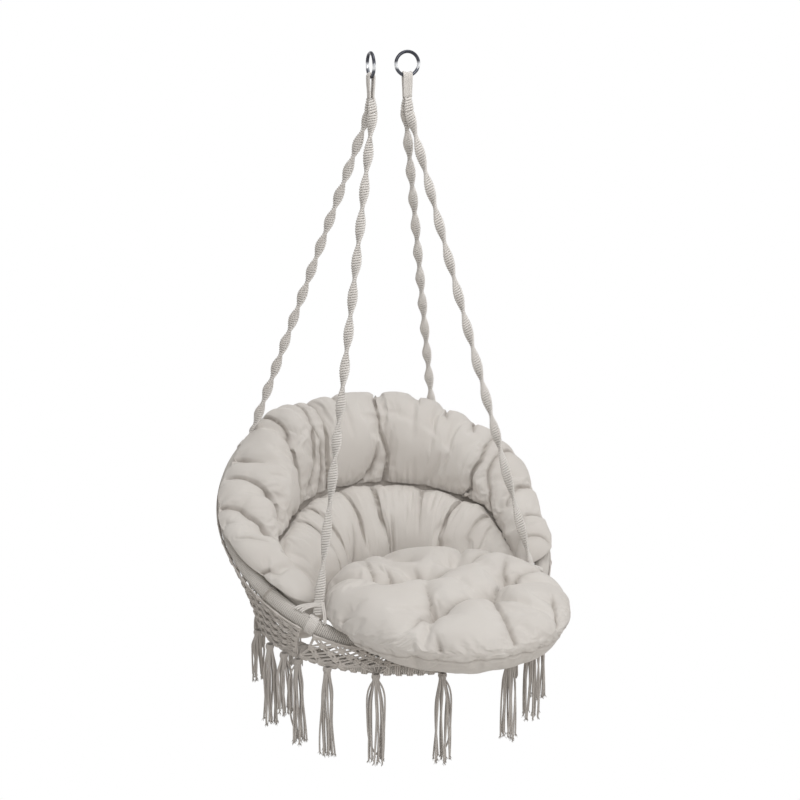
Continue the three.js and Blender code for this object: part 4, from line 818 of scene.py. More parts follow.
# Back cushion's skin: at every angle round the large hoop an upright section of two blunt
# ovals, one above the other, that meet in a crease. Its rear leans from the large hoop down to
# the seat hoop, and its top folds outwards over the large hoop. It shrinks towards the ends.
# Channels and gathers make it shallower, and where it stands over the seat cushion it may
# reach further in.
def backSkin(angle, ring):
    spec = backPad
    angle, ring = np.broadcast_arrays(angle, ring)
    degrees = np.degrees(angle)
    rise, lip, upper, lower = (np.interp(degrees, backForm[:, 0], backForm[:, i]) / 1000 for i in range(1, 5))
    large, small = hoopPoint(largeHoop, angle), hoopPoint(seatHoop, angle)
    flat = outward(largeHoop, angle)
    lean = largeHoop["back"][1]
    inward = unit(np.stack([-flat[..., 0] * lean, -flat[..., 1] / lean, 0 * angle], -1))
    rearTop = large + inward * (hitchReach + hoopFit)
    towardsFront = smooth(-np.sin(angle) / math.sin(math.radians(hitch["front"])))
    seatEdge = small - [0, 0, seatNetTop - touchGap] + inward * spec["seatInset"]
    rearLow = mix(rearTop, seatEdge, column(mix(1, spec["armLow"], towardsFront)))
    base, hoopHeight = rearLow[..., 2], large[..., 2]
    away = np.min(abs(degrees[..., None] - np.array(spec["channels"])), -1)
    channel = smooth(1 - np.radians(away) * largeHoop["radius"] / spec["channelSpread"])
    top = hoopHeight + rise - channel * spec["topDip"]
    room = np.minimum(roomToSeatCushion(rearTop, inward), roomToSeatCushion(rearLow, inward)) - spec["endGap"]
    dip = channel * spec["channelDepth"] * smooth((ring - spec["channelFrom"]) / spec["channelFade"])
    # Uneven ripples: 41, 67 and 101 waves to a turn, the last of which come and go.
    wave = np.sin(41 * angle) + np.sin(67 * angle + 1.3) + 0.8 * np.sin(101 * angle + 2.1) * np.sin(5 * angle)
    for place, spread, lift in spec["gathers"]:
        dip = dip + wave * lift / 2 * np.exp(-((ring - place) / spread) ** 2)
    drop = mix(-spec["armCreaseLift"], spec["creaseDrop"], np.maximum(0, np.sin(angle)))
    crease = np.maximum(hoopHeight - drop, mix(base, top, spec["lowestCrease"]))
    isLow = ring < 1
    bend = np.radians(np.where(isLow, 180 + (180 + spec["lowerCrease"]) * ring,
                               -spec["upperCrease"] + (180 + spec["upperCrease"]) * (ring - 1)))
    bluntCos = np.sign(np.cos(bend)) * abs(np.cos(bend)) ** spec["roundness"]
    bluntSin = np.sign(np.sin(bend)) * abs(np.sin(bend)) ** spec["roundness"]
    cut = (1 - math.sin(math.radians(spec["upperCrease"])) ** spec["roundness"]) / 2
    upperFoot = (crease - cut * top) / (1 - cut) - spec["creaseOverlap"]
    height = np.where(isLow, mix(base, crease, (1 + bluntSin) / 2), mix(upperFoot, top, (1 + bluntSin) / 2))
    clearOf = height - seatPad["middle"][2] - spec["overPadRise"]
    overPad = spec["overPad"] * smooth(clearOf / spec["overPadRise"])
    upper = np.minimum(upper, room + overPad) - dip
    lower = np.minimum(lower, room + overPad) - dip
    depth = np.where(isLow, lower, upper) / 2 * (1 + bluntCos)
    down = np.clip((height - hoopHeight) / (base - hoopHeight), 0, 1)
    swell = spec["bulge"] * np.sin(math.pi * down) * (1 - towardsFront)
    fold = lip * smooth((height - hoopHeight - spec["lipLift"]) / spec["lipSlope"])
    fold = fold * (1 - depth / np.maximum(upper, 0.01))
    rear = mix(rearTop, rearLow, column(down))
    rear[..., 2] = height
    points = rear + inward * column(depth - swell - np.where(isLow, 0, fold))
    centre = mix(rearTop, rearLow, 0.5) + inward * column(upper / 2)
    centre[..., 2] = (top + base) / 2
    start, end = backEnds()
    fromEnd = np.clip(np.minimum(angle - start, end - angle) * largeHoop["radius"] / spec["rounding"], 0, 1)
    size = np.maximum(spec["tip"], np.sqrt(1 - (1 - fromEnd) ** 2))
    return mix(centre, points, column(size)), centre, depth


# Gives back the piece and which of its points lie against the hoop or the net.
def makeBackPad():
    spec = backPad
    start, end = backEnds()
    angle = np.linspace(start, end, spec["columns"])[:, None]
    power, offset = spec["stepPower"], spec["crease"]["offset"]
    ring = np.concatenate([1 - np.linspace(1, 0, spec["lowerSteps"], endpoint=False) ** power,
                           1 + offset + (1 - offset) * np.linspace(0, 1, spec["upperSteps"]) ** power])[None]
    points, centre, depth = backSkin(angle, ring)
    shrink = [0.66, 0.33, 0.02]  # the rings of points that close each end
    startCap = [mix(centre[0], points[0], share) for share in shrink[::-1]]
    endCap = [mix(centre[-1], points[-1], share) for share in shrink]
    full = np.concatenate([np.stack(startCap), points, np.stack(endCap)])
    lengths = np.linalg.norm(np.diff(full, axis=0, prepend=full[:1]), axis=-1).mean(1).cumsum()
    widths = np.linalg.norm(np.diff(full, axis=1, append=full[:, :1]), axis=-1).mean(0).cumsum()
    around = full.shape[1]
    uAlong = np.broadcast_to(np.append(lengths, lengths[-1])[:, None], (len(full) + 1, around + 1))
    vAlong = np.broadcast_to(np.concatenate([[0], widths])[None], (len(full) + 1, around + 1))
    piece = addPiece("backCushion", [gridPart(full, uAlong, vAlong, closedColumns=True)],
                     cushionCloth, "chair", ["back_cushion"])
    hold, hoopHeight = spec["hold"], hoopPoint(largeHoop, angle)[..., 2]
    onHoop = (depth < hold["hoopDepth"]) & (points[..., 2] < hoopHeight + hold["aboveHoop"])
    keepValues(piece, "onHoop", np.pad(onHoop, ((len(shrink), len(shrink)), (0, 0))).ravel())
    weld(piece)
    return piece, readValues(piece.data.attributes["onHoop"].data, "value", 1)[:, 0] > 0.5


backCushion, behindHoop = makeBackPad()
backRest = readPoints(backCushion)
keepValues(backCushion, "rest", backRest)
backLines = [drawLine(line, lambda degrees, ring: backSkin(np.radians(degrees), ring)[0],
                      backPad["lineSteps"]) for line in backPad["lines"]]
# The crease, just above and just below the place where the tiers meet; the line just below only adds painted
# shade along the crease.
crease, hold = backPad["crease"], backPad["hold"]
creaseAngle = np.radians(np.linspace(*crease["degrees"], crease["steps"]))
creaseDepth = np.full((crease["steps"], 1), crease["depth"])
creaseLine, shelfShadeLine = (np.concatenate([backSkin(creaseAngle, ring)[0], creaseDepth], 1)
                         for ring in (1 + crease["offset"], 1 - crease["offset"]))
lineGap, lineDepth = nearestLine(backRest, backLines, folds["search"])
carve(backCushion, backLines, folds["softWidth"], backPad["softShare"])
creaseGap = nearestLine(backRest, [creaseLine], folds["search"])[0]
sewn = ((lineGap < hold["line"]) & (lineDepth > hold["lineDepth"])) | (creaseGap < hold["crease"])
puff(backCushion, behindHoop | sewn, backPad["puff"])
subdivide(backCushion)
carve(backCushion, backLines + [creaseLine], folds["sharpWidth"], folds["sharpShare"], folds["swell"])
keepFoldShade(backCushion, backLines + [creaseLine, shelfShadeLine])
print("back cushion made")

# Rings: a round wire bent to a circle, with a slight swelling where its ends are welded.
rings = {"spacing": 0.090, "middleRadius": 0.02625, "wireRadius": 0.00375, "innerRadius": 0.0225,
         "turned": -10,
         "weldAngle": -0.6, "weldSwell": 0.05, "weldSpread": 0.09, "steps": 96, "sides": 24}


# The two rings stand square to each other, both turned a little.
def ringTurn(side):
    return math.radians(rings["turned"]) - (math.pi / 2 if side < 0 else 0)


def makeRing(side, word):
    angle = np.arange(rings["steps"]) / rings["steps"] * turn
    facing = ringTurn(side)
    level = np.array([math.cos(facing), math.sin(facing), 0])
    middle = np.array([side * rings["spacing"] / 2, 0, -rings["innerRadius"]])
    path = middle + rings["middleRadius"] * (column(np.cos(angle)) * level + column(np.sin(angle)) * upright)
    away = np.angle(np.exp(1j * (angle - rings["weldAngle"])))
    wire = rings["wireRadius"] * (1 + rings["weldSwell"] * np.exp(-(away / rings["weldSpread"]) ** 2))
    part = sweep(path[None], path - middle, wire[None], wire[None], rings["sides"], closed=True)
    addPiece(f"{word}Ring", [part], chrome, "hanging_rings", [f"{word}_hanging_ring"])


# Rope eyes: six cords side by side, each a loop over the wire with two legs that close in
# below it. The loop rises with the wire towards the eye's edges.
eye = {"cords": 6, "gap": 0.0036, "cord": 0.0021, "length": 0.046, "legNear": 0.0042, "loop": 0.0062,
       "squeeze": 0.12}


def makeEye(side, word):
    facing = ringTurn(side)
    across = np.array([math.cos(facing), math.sin(facing), 0])
    thick = np.array([-math.sin(facing), math.cos(facing), 0])
    wire = np.array([side * rings["spacing"] / 2, 0, -rings["innerRadius"] - rings["middleRadius"]])
    paths = []
    for index in range(eye["cords"]):
        offset = (index - (eye["cords"] - 1) / 2) * eye["gap"]
        rise = rings["innerRadius"] - math.sqrt(rings["innerRadius"] ** 2 - offset ** 2)
        bend = np.linspace(0, math.pi, 11)
        legs = np.linspace(1, 0, 9)[:-1]
        draw = smooth(legs)
        legOut = mix(eye["loop"], eye["legNear"], draw)
        heights = np.concatenate([-legs * eye["length"], rise * np.sin(bend) + eye["loop"] * np.sin(bend),
                                  -legs[::-1] * eye["length"]])
        outs = np.concatenate([legOut, eye["loop"] * np.cos(bend), -legOut[::-1]])
        squeeze = 1 - eye["squeeze"] * np.concatenate([draw, bend * 0, draw[::-1]])
        paths.append(wire + across * column(offset * squeeze) + thick * column(outs)
                     + upright * column(heights))
    part = sweep(np.stack(paths), across, eye["cord"], eye["cord"], 8)
    addPiece(f"{word}RopeEye", [part], ropeCord, "hanging_rings", [f"{word}_rope_eye"])


# Ropes: sinnets of half knots. Two working cords wind in step, half a turn apart, and leave no
# core to see. The flat band that they make twists half a turn in 65 mm from the top. "Slow" is
# the lowest stretch of a rope and its half twists, which end in a flat run square to the hoop.
hingeHeight = -0.10905
sinnet = {"halfWidth": 0.012, "halfThickness": 0.005, "startOffset": 0.0095, "halfTwist": 0.065,
          "frontSlow": (0.300, 2), "rearSlow": (0.040, 0), "flat": 0.040, "pitch": 0.0116, "cord": 0.00235,
          "cordWidth": 1.12, "drop": 0.018, "pointsPerTurn": 16}


def workingCords(top, down, length, across, behind, turnAt, narrowAt):
    turns = length / sinnet["pitch"]
    count = int(turns * sinnet["pointsPerTurn"])
    s = np.linspace(0, length, count)
    twist = turnAt(s)
    wide = column(np.cos(twist)) * across + column(np.sin(twist)) * behind
    thin = np.cross(down, wide)
    narrow = narrowAt(s)
    parts = []
    for first in (0, math.pi):
        angles = s / sinnet["pitch"] * turn + first
        parts.append(coil(top + down * column(s), wide, thin, (sinnet["halfWidth"] - sinnet["cord"]) * narrow,
                          (sinnet["halfThickness"] - sinnet["cord"]) * narrow, angles, sinnet["cord"], down,
                          across=sinnet["cordWidth"]))
    return parts


def makeRope(side, frontSign, degrees, slow, name, node):
    point, along, out = hoopChord(largeHoop, degrees)
    top = np.array([side * rings["spacing"] / 2, frontSign * sinnet["startOffset"],
                    hingeHeight - sinnet["drop"] - touchGap])
    towardsTop = top - point
    towardsTop = unit(towardsTop - dot(towardsTop, along) * along)
    foot = point + towardsTop * (hitchReach + touchGap)
    length = float(np.linalg.norm(foot - top))
    down = (foot - top) / length
    across = unit(sideways - down[0] * down)
    behind = np.cross(down, across)
    endTurn = math.atan2(along @ behind, along @ across)
    slowLength, slowTwists = slow
    fastLength = length - slowLength
    fastTurn = round(fastLength / sinnet["halfTwist"] - slowTwists) * math.pi + endTurn
    stations = [0, fastLength, length - sinnet["flat"], length]
    turns = [0, fastTurn, fastTurn + slowTwists * math.pi, fastTurn + slowTwists * math.pi]
    parts = workingCords(top, down, length, across, behind,
                         lambda s: np.interp(s, stations, turns), lambda s: np.ones(len(s)))
    if frontSign < 0:
        parts += ropeLegs(foot, down, along, point)
    addPiece(name, parts, ropeCord, "chair", [node])


# A front rope's cords fan out where they meet the hoop: pairs leave its last knots, run along
# the hoop by their reach, with its sign, and end on the winding.
legs = {"reaches": ((-1, 0.046), (-1, 0.034), (1, 0.024)), "pair": 0.0024, "start": 0.026, "cord": 0.0022,
        "bulge": 0.006, "bulgeEnd": 1.15, "drawIn": 1.3}


def ropeLegs(foot, down, along, point):
    parts = []
    axis = largeHoop["axis"]
    start = foot - down * legs["start"]
    end = point + axis * (largeHoop["winding"] + legs["cord"])
    s = np.linspace(0, 1, 16)
    bulge = column((1 - smooth(s * legs["bulgeEnd"])) * legs["bulge"])
    path = mix(start, end, column(s ** legs["drawIn"]))
    path = path - dot(path - point, along) * along
    for sign, reach in legs["reaches"]:
        for offset in (-legs["pair"], legs["pair"]):
            fanned = path + along * column(sign * (smooth(s) * reach + offset)) - down * bulge
            parts.append(sweep(fanned[None], axis[None], legs["cord"], legs["cord"], 7))
    return parts


# Split knots: below the eye the cords part into the front and the rear rope, and each starts
# its own knots, narrow at first, while it moves away from the other.
splitKnot = {"apart": 0.0045, "above": 0.0125, "narrow": 0.72, "widens": 0.02}


def makeSplitKnot(side, word):
    parts = []
    for frontSign in (-1, 1):
        top = np.array([side * rings["spacing"] / 2, frontSign * splitKnot["apart"],
                        hingeHeight + splitKnot["above"]])
        end = np.array([side * rings["spacing"] / 2, frontSign * sinnet["startOffset"],
                        hingeHeight - sinnet["drop"]])
        length = float(np.linalg.norm(end - top))
        down = (end - top) / length
        across = unit(sideways - down[0] * down)
        parts += workingCords(top, down, length, across, np.cross(down, across), lambda s: s * 0,
                              lambda s: mix(splitKnot["narrow"], 1.0, smooth(s / splitKnot["widens"])))
    addPiece(f"{word}SplitKnot", parts, ropeCord, "chair", [f"{word}_split_knot"])


# Hitches: the rope's cords wound seven times round the bound hoop.
def makeHitch(degrees, name, node):
    point, along, out = hoopChord(largeHoop, degrees)
    turns = hitch["turns"]
    cord = hitch["width"] / turns / 2
    count = turns * hitch["pointsPerTurn"]
    s = np.linspace(-0.5, 0.5, count)
    angles = (s * (turns - 1) + 0.25) * turn
    middles = point + along * column(s * (hitch["width"] - 2 * cord))
    reach = largeHoop["winding"] + cord * 0.9
    part = coil(middles, out, np.broadcast_to(largeHoop["axis"], middles.shape), reach, reach, angles,
                cord * 1.05, along, sides=8)
    addPiece(name, [part], ropeCord, "chair", [node])


# Hoop windings: one cord wound on the tube over its whole length, one turn per 4.2 mm.
winding = {"pitch": 0.0042, "cord": 0.00205, "cordWidth": 1.02, "pointsPerTurn": 12}


def makeWinding(hoop, name, node):
    turns = round(turn * hoop["radius"] / winding["pitch"])
    count = turns * winding["pointsPerTurn"]
    s = np.linspace(0, 1, count, endpoint=False)
    angle = s * turn + math.radians(hitch["front"]) + math.pi
    reach = hoop["winding"] - winding["cord"]
    bend = s * turns * turn
    paths = (hoopPoint(hoop, angle) + outward(hoop, angle) * column(np.cos(bend) * reach)
             + hoop["axis"] * column(np.sin(bend) * reach))
    part = sweep(paths[None], forward(hoop, angle)[None], winding["cord"] * winding["cordWidth"],
                 winding["cord"], 5, closed=True)
    addPiece(name, [part], windingCord, "chair", [node])


for side, word in ((-1, "left"), (1, "right")):
    makeRing(side, word)
    makeEye(side, word)
    makeSplitKnot(side, word)
    front = -hitch["front"] if side > 0 else 180 + hitch["front"]
    rear = hitch["rear"] if side > 0 else 180 - hitch["rear"]
    capital = word.capitalize()
    makeRope(side, -1, front, sinnet["frontSlow"], f"front{capital}Rope", f"front_{word}_rope")
    makeRope(side, 1, rear, sinnet["rearSlow"], f"rear{capital}Rope", f"rear_{word}_rope")
    makeHitch(front, f"front{capital}Hitch", f"front_{word}_hitch")
    makeHitch(rear, f"rear{capital}Hitch", f"rear_{word}_hitch")
makeWinding(largeHoop, "backHoopWinding", "back_hoop_winding")
makeWinding(seatHoop, "seatHoopWinding", "seat_hoop_winding")
for node in ("back_hoop_tube", "seat_hoop_tube"):
    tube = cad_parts[node]
    tube.data.materials.clear()
    tube.data.materials.append(steel)
print("rings, ropes and hoops made")

# Wall nets: a lattice of diamonds. A knot sits where column and row add up to an even number,
# and two cords, which bow apart a little, run between neighbouring knots. Border cords lie side
# by side along a panel's edges, and heads are the lark's heads that tie it to the seat hoop.
net = {"cord": 0.0017, "pair": 0.0019, "bow": 0.0012, "border": 0.3, "seam": 0.002, "hitchGap": 0.0012,
       "thickness": 0.004, "borderRows": (-0.28, -0.14, 0.0), "borderColumns": (-0.24, -0.1),
       "knotTurns": 2.4, "knotHalfHeight": 0.0052, "knotHalfWidth": 0.0062, "knotHalfDepth": 0.0021,
       "knotCord": (0.0020, 0.0017), "headWidth": 0.013, "headTurns": 3, "headCord": (0.0022, 0.0019),
       "headSink": 0.8}
netPoint = {"cords": 6, "halfAngles": (0.056, 0.011), "gather": 1.1, "lift": 0.002, "ripple": 0.0012}
# Tassels by angle on the seat hoop and length from knot to tips in millimetres.
tasselDegrees = [4, 30, 56, 82, 112, 143, 168, 183, 193.5, 201.6, 215.8, 235, 260, 291.5, 310, 336]
tasselLengths = [225, 208, 208, 208, 225, 99, 112, 188, 135, 195, 202, 205, 204, 197, 187, 206]


# Half the gap, as an angle, between two panels: a hitch wide beside the hitch, a seam below it.
def marginAt(angle, v, rows):
    large, small = wallFrame(np.array([angle]))[:2]
    past = v - hitchReach / np.linalg.norm(large[0] - small[0]) - 1 / rows
    share = smooth(past / (1 - v + past + 1e-9))
    wide = (hitch["width"] / 2 + net["hitchGap"]) / largeHoop["radius"]
    return mix(wide, net["seam"] / 2 / seatHoop["radius"], share)


def makePanel(fromDegrees, toDegrees, columns, rows, name, node, stout=1.0):
    start, end = math.radians(fromDegrees), math.radians(toDegrees)
    border, cord = net["border"], net["cord"]

    def shareDown(row):
        return (row + border) / (rows + 2 * border)

    def angleAt(column_, v):
        u = (column_ + border) / (columns + 2 * border)
        return mix(start + marginAt(start, v, rows), end - marginAt(end, v, rows), u)

    def place(column_, row):
        v = shareDown(row)
        return wallPoint(angleAt(column_, v), v, net["thickness"] / 2)

    def normal(column_, row):
        return wallFrame(angleAt(column_, shareDown(row)))[3]

    def borderCord(column_, row):
        return sweep(place(column_, row)[None], normal(column_, row)[None], cord, cord, 6)

    knots = np.array([(c, r) for r in range(rows + 1) for c in range(columns + 1) if (c + r) % 2 == 0], float)
    strands = np.array([(c, r, step) for c, r in knots for step in (1, -1)
                        if c + 1 <= columns and 0 <= r + step <= rows], float)
    s = np.linspace(0, 1, 9)
    c = strands[:, :1] + s
    r = strands[:, 1:2] + strands[:, 2:3] * s
    paths, facing = place(c, r), normal(c, r)
    side = unit(np.cross(facing, np.gradient(paths, axis=1)))
    bow = column(np.sin(s * math.pi) * net["bow"] + net["pair"]) * stout
    parts = [sweep(paths + side * bow * sign, facing, cord * stout, cord * stout, 6) for sign in (-1, 1)]
    edge = np.linspace(-border, columns + border, columns * 8)
    parts += [borderCord(edge, rowEnd + sign * offset)
              for offset in net["borderRows"] for rowEnd, sign in ((0, 1), (rows, -1))]
    tall = np.linspace(-border, rows + border, rows * 8)
    parts += [borderCord(columnEnd + sign * offset, tall)
              for offset in net["borderColumns"] for columnEnd, sign in ((0, 1), (columns, -1))]
    # Knots: a short coil round the strands where they cross.
    s = np.linspace(0, 1, 30)
    centres = place(knots[:, 0], knots[:, 1])
    facing = normal(knots[:, 0], knots[:, 1])
    down = place(knots[:, 0], knots[:, 1] + 0.05) - centres
    down = unit(down - dot(down, facing) * facing)
    across = np.cross(facing, down)
    angles = s * net["knotTurns"] * turn
    paths = (centres[:, None] + down[:, None] * column((s - 0.5) * 2 * net["knotHalfHeight"])
             + across[:, None] * column(np.cos(angles) * net["knotHalfWidth"])
             + facing[:, None] * column(np.sin(angles) * net["knotHalfDepth"]))
    wide, thick = net["knotCord"]
    parts.append(sweep(paths, down[:, None], wide * stout, thick * stout, 6))
    parts += netPoints(angleAt, columns)
    # Lark's heads: each column's cords wind round the bound seat hoop.
    s = np.linspace(-0.5, 0.5, 40)
    wide, thick = net["headCord"]
    reach = seatHoop["winding"] + cord * net["headSink"]
    for index in range(columns + 1):
        angle = seatAngleBelow(np.array([float(angleAt(index, 1.0))]))[0]
        angles = angle + s * net["headWidth"] / seatHoop["radius"]
        bend = s * net["headTurns"] * turn + index
        path = (hoopPoint(seatHoop, angles) + outward(seatHoop, angles) * column(np.cos(bend) * reach)
                + seatHoop["axis"] * column(np.sin(bend) * reach))
        parts.append(sweep(path[None], forward(seatHoop, angles)[None], wide, thick, 7))
    addPiece(name, parts, netCord, "chair", [node])


# The angle on the large hoop whose cord comes down at a given angle on the seat hoop.
def largeAngleAbove(degrees, start):
    wanted = math.radians(degrees)
    first = float(seatAngleBelow(np.array([start]))[0])
    wanted += turn * math.ceil((first - wanted) / turn)
    low, high = start, start + turn
    for halving in range(40):
        middle = (low + high) / 2
        if float(seatAngleBelow(np.array([middle]))[0]) < wanted:
            low = middle
        else:
            high = middle
    return low


# Net points: six cords gather from a stretch of the lower edge to each tassel's knot.
def netPoints(angleAt, columns):
    low, high = float(angleAt(0, 1.0)), float(angleAt(columns, 1.0))
    parts = []
    for degrees in tasselDegrees:
        angle = largeAngleAbove(degrees, low)
        if low < angle < high:
            s = np.linspace(0, 1, 10)
            spread = np.linspace(-1, 1, netPoint["cords"])[:, None]
            angles = angle + spread * mix(*netPoint["halfAngles"], smooth(s * netPoint["gather"]))
            paths = pointOnSeatHoop(angles, s, netPoint["lift"] + netPoint["ripple"] * np.cos(spread * 6))
            facing = unit(paths - wallFrame(angles)[1])
            parts.append(sweep(paths, facing, net["cord"], net["cord"], 6))
    return parts


makePanel(-hitch["front"], hitch["rear"], 20, 10, "rightNet", "right_net")
makePanel(hitch["rear"], 180 - hitch["rear"], 16, 14, "backNet", "back_net")
makePanel(180 - hitch["rear"], 180 + hitch["front"], 20, 10, "leftNet", "left_net")
makePanel(180 + hitch["front"], 360 - hitch["front"], 30, 4, "frontNet", "front_net", stout=1.35)

# Seat net: sixteen pairs of spokes and three rings of two cords, round a spiral hub.
seatNet = {"spokes": 16, "rings": 3, "cord": 0.0019, "hub": 0.022, "drop": 0.013, "pair": 0.0028,
           "wave": 0.0006, "ringCords": (0.0038, 0.0082), "sway": 0.0005, "hubTurns": 5, "inset": 0.002}


def seatNetPlace(radius, angle):
    middle = seatHoop["middle"] - seatHoop["axis"] * seatNet["drop"]
    return middle + outward(seatHoop, angle) * column(radius)


def makeSeatNet():
    cord, hub = seatNet["cord"], seatNet["hub"]
    intoWinding = math.sqrt(seatHoop["winding"] ** 2 - seatNetTop ** 2)
    rim = seatHoop["radius"] * math.cos(math.radians(hoops["stationDegrees"] / 2)) - intoWinding - touchGap
    spokes = np.arange(seatNet["spokes"])[:, None] / seatNet["spokes"] * turn
    s = np.linspace(0, 1, 40)[None]
    radius = mix(hub * 0.6, rim - seatNet["inset"], s) + 0 * spokes
    wave = np.sin(s * seatNet["rings"] * turn) * seatNet["wave"]
    parts = []
    for sign in (-1, 1):
        offset = sign * (seatNet["pair"] + wave) / radius
        parts.append(sweep(seatNetPlace(radius, spokes + offset), seatHoop["axis"], cord, cord, 6))
    around = np.linspace(0, turn, 160, endpoint=False)
    sway = seatNet["sway"] * np.sin(around * seatNet["spokes"])
    for ring in range(1, seatNet["rings"] + 1):
        outer = mix(hub, rim, ring / seatNet["rings"])
        for offset in seatNet["ringCords"]:
            path = seatNetPlace(outer - offset + sway, around)
            parts.append(sweep(path[None], seatHoop["axis"], cord, cord, 6, closed=True))
    spiral = np.linspace(0, 1, 160)
    path = seatNetPlace(mix(seatNet["inset"], hub - seatNet["inset"], spiral),
                        spiral * seatNet["hubTurns"] * turn)
    parts.append(sweep(path[None], seatHoop["axis"], cord, cord, 6))
    addPiece("seatNet", parts, netCord, "chair", ["seat_net"])


makeSeatNet()
print("nets made")

# Tassels: a gathering knot and thirteen cut cords that spread a little and end in brushed fibres;
# on some a slack cord bows out to the side. Pairs of numbers are the limits of random draws.
screenRight = unit(np.cross(np.array(view["target"]) - view["place"], upright))
tassel = {"knotRadius": 0.009, "strands": 13, "cord": 0.0021, "neck": 0.0058, "skirt": 0.0168, "top": 0.004,
          "spread": (0.45, 1.0), "length": (0.93, 0.985), "swayCounts": (2.0, 4.5), "sway": 0.0030,
          "fibres": 8, "fibreOut": (0.0015, 0.0060), "fibreRun": (0.004, 0.009), "fibreRoot": 0.003,
          "fibreWidths": [0.0010, 0.0009, 0.0007, 0.0003],
          "knotTurns": 4, "knotReach": 0.0060, "knotBelly": 0.0022, "knotEnds": (0.0066, -0.0062),
          "knotCord": (0.0021, 0.0019),
          "bows": {12: (-1, 1), 13: (1,), 10: (-1,)}, "bowWidth": 0.022, "bowLength": 0.9, "bowSag": 0.25}
tasselReach = seatHoop["winding"] + hoopFit + net["thickness"] + touchGap / 2 + tassel["knotRadius"]


def tasselKnot(degrees):
    angle = largeAngleAbove(degrees, 0.0)
    outOfSeat = wallFrame(np.array([angle]))[4][0]
    out = outward(seatHoop, np.array([math.radians(degrees)]))[0]
    edge = math.atan2(outOfSeat @ seatHoop["axis"], outOfSeat @ out)
    bend = min(hang, edge) + hang / 2
    point = hoopChord(seatHoop, degrees)[0]
    return point + out * math.cos(bend) * tasselReach + seatHoop["axis"] * math.sin(bend) * tasselReach


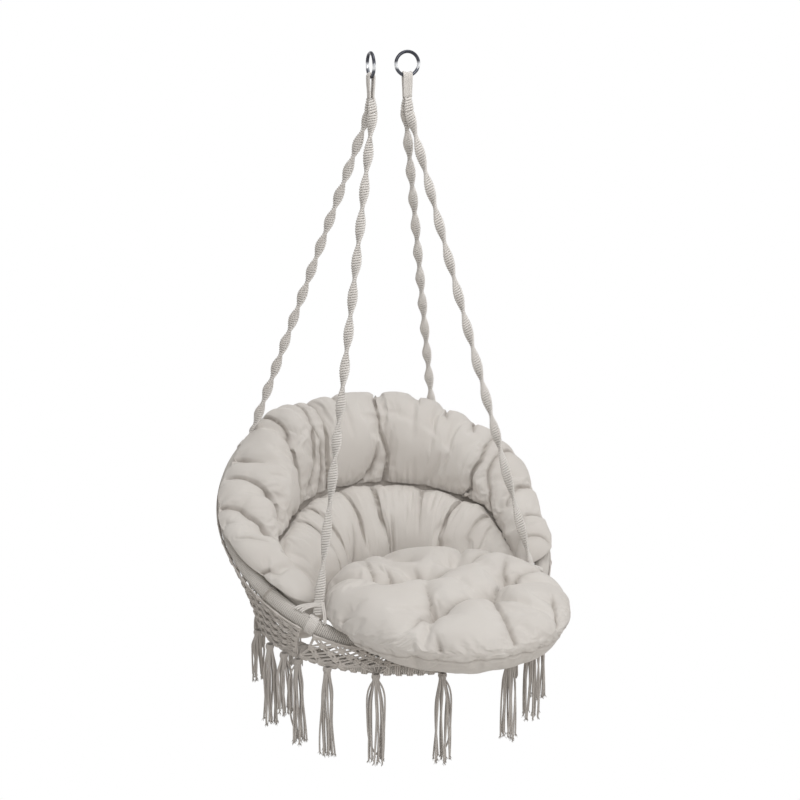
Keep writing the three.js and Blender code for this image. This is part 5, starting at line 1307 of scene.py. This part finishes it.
def makeTassel(index, degrees, fullLength):
    rng = np.random.default_rng(300 + index)
    knot = tasselKnot(degrees)
    count, fibres, cord, top = tassel["strands"], tassel["fibres"], tassel["cord"], tassel["top"]
    s = np.linspace(0, 1, 26)[None]
    angle = (np.arange(count) / count * turn + rng.uniform(-0.2, 0.2, count))[:, None]
    spread = rng.uniform(*tassel["spread"], count)[:, None]
    radius = mix(tassel["neck"], tassel["skirt"] * spread, smooth(s * 3.2)) + 0.002 * s * spread
    length = fullLength / 1000 * rng.uniform(*tassel["length"], count)[:, None]
    swayStart = rng.uniform(0, turn, (2, count, 1))
    swayCount = rng.uniform(*tassel["swayCounts"], (2, count, 1))
    sway = tassel["sway"] * np.sin(s * swayCount + swayStart) * smooth(s * 2)
    paths = knot + np.stack([np.cos(angle) * radius + sway[0], np.sin(angle) * radius + sway[1],
                             -top - s * (length - top)], -1)
    parts = [sweep(paths, sideways, cord, cord, 7)]
    # Brushed ends: thin fibres leave each cut end at a slant.
    slant = rng.uniform(0, turn, (count, fibres, 1))
    out = rng.uniform(*tassel["fibreOut"], (count, fibres, 1))
    run = rng.uniform(*tassel["fibreRun"], (count, fibres, 1))
    t = np.linspace(0, 1, 4)
    fibrePaths = np.stack([np.cos(slant) * out * t ** 1.4, np.sin(slant) * out * t ** 1.4,
                           tassel["fibreRoot"] - (run + tassel["fibreRoot"]) * t], -1)
    fibrePaths = (paths[:, -1][:, None, None] + fibrePaths).reshape(-1, 4, 3)
    fibreWidth = np.array(tassel["fibreWidths"])[None]
    parts.append(sweep(fibrePaths, sideways, fibreWidth, fibreWidth, 4))
    s = np.linspace(0, 1, 72)
    for sign in tassel["bows"].get(index, ()):
        bow = sign * tassel["bowWidth"] * (1 - (2 * s - 1) ** 4) * (1 - tassel["bowSag"] * s)
        fall = -top - s * (fullLength / 1000 * tassel["bowLength"] - top)
        path = knot + screenRight * column(bow) + upright * column(fall)
        parts.append(sweep(path[None], sideways, cord, cord, 7))
    # Gathering knot: a cord wound four times round the neck.
    wind = s * tassel["knotTurns"] * turn
    reach = tassel["knotReach"] + tassel["knotBelly"] * np.sin(s * math.pi)
    path = knot + np.stack([np.cos(wind) * reach, np.sin(wind) * reach, mix(*tassel["knotEnds"], s)], -1)
    parts.append(sweep(path[None], upright, *tassel["knotCord"], 7))
    name = f"tassel_{index:02d}"
    addPiece(f"tasselCords{index:02d}", parts, tasselCord, name, [name])


for index, (degrees, fullLength) in enumerate(zip(tasselDegrees, tasselLengths), 1):
    makeTassel(index, degrees, fullLength)
print("tassels made")

# Ties: two cords round the bound hoop, from the net's upper edge over the inner side, and a
# short coil that ties them there.
tie = {"cord": 0.0015, "degrees": (-22.5, 22.5), "gap": 0.0036, "lift": 0.0018, "thickness": 0.003,
       "endGap": math.radians(4), "coilAt": 22, "coilTurns": 2, "coilHalfWidth": 0.0034,
       "coilHalfDepth": 0.0022, "coilLength": 0.006, "coilCord": (0.0015, 0.0014)}


def makeTie(degrees, name, node):
    point, along, out = hoopChord(largeHoop, degrees)
    outOfWall = wallFrame(np.array([math.radians(degrees)]))[3][0]
    netAngle = math.atan2(outOfWall @ largeHoop["axis"], outOfWall @ out)
    outer = boreReach + tie["thickness"]
    start = netAngle + touchGap / boreReach + tie["endGap"]
    end = netAngle + turn - math.acos((largeHoop["winding"] + hoopFit) / outer) - tie["endGap"]
    bend = np.linspace(start, end, 40)
    ring = out * column(np.cos(bend)) + largeHoop["axis"] * column(np.sin(bend))
    reach = largeHoop["winding"] + tie["lift"]
    paths = np.stack([point + ring * reach + along * (sign * tie["gap"] / 2) for sign in (-1, 1)])
    parts = [sweep(paths, np.stack([ring, ring]), tie["cord"], tie["cord"], 7)]
    s = np.linspace(0, 1, 36)
    inside = ring[tie["coilAt"]]
    crossing = np.cross(along, inside)
    middles = point + inside * reach + crossing * column((s - 0.5) * tie["coilLength"])
    wide, thick = tie["coilCord"]
    parts.append(coil(middles, along, inside, tie["coilHalfWidth"], tie["coilHalfDepth"],
                      s * tie["coilTurns"] * turn, thick, crossing, across=wide / thick))
    addPiece(name, parts, tieCloth, "chair", [node])


for side, word in ((-1, "Left"), (1, "Right")):
    for degrees, end in zip(tie["degrees"], ("front", "rear")):
        place = degrees if side > 0 else 180 - degrees
        makeTie(place, f"{end}{word}Tie", f"{end}_{word.lower()}_tie")
print("ties made")
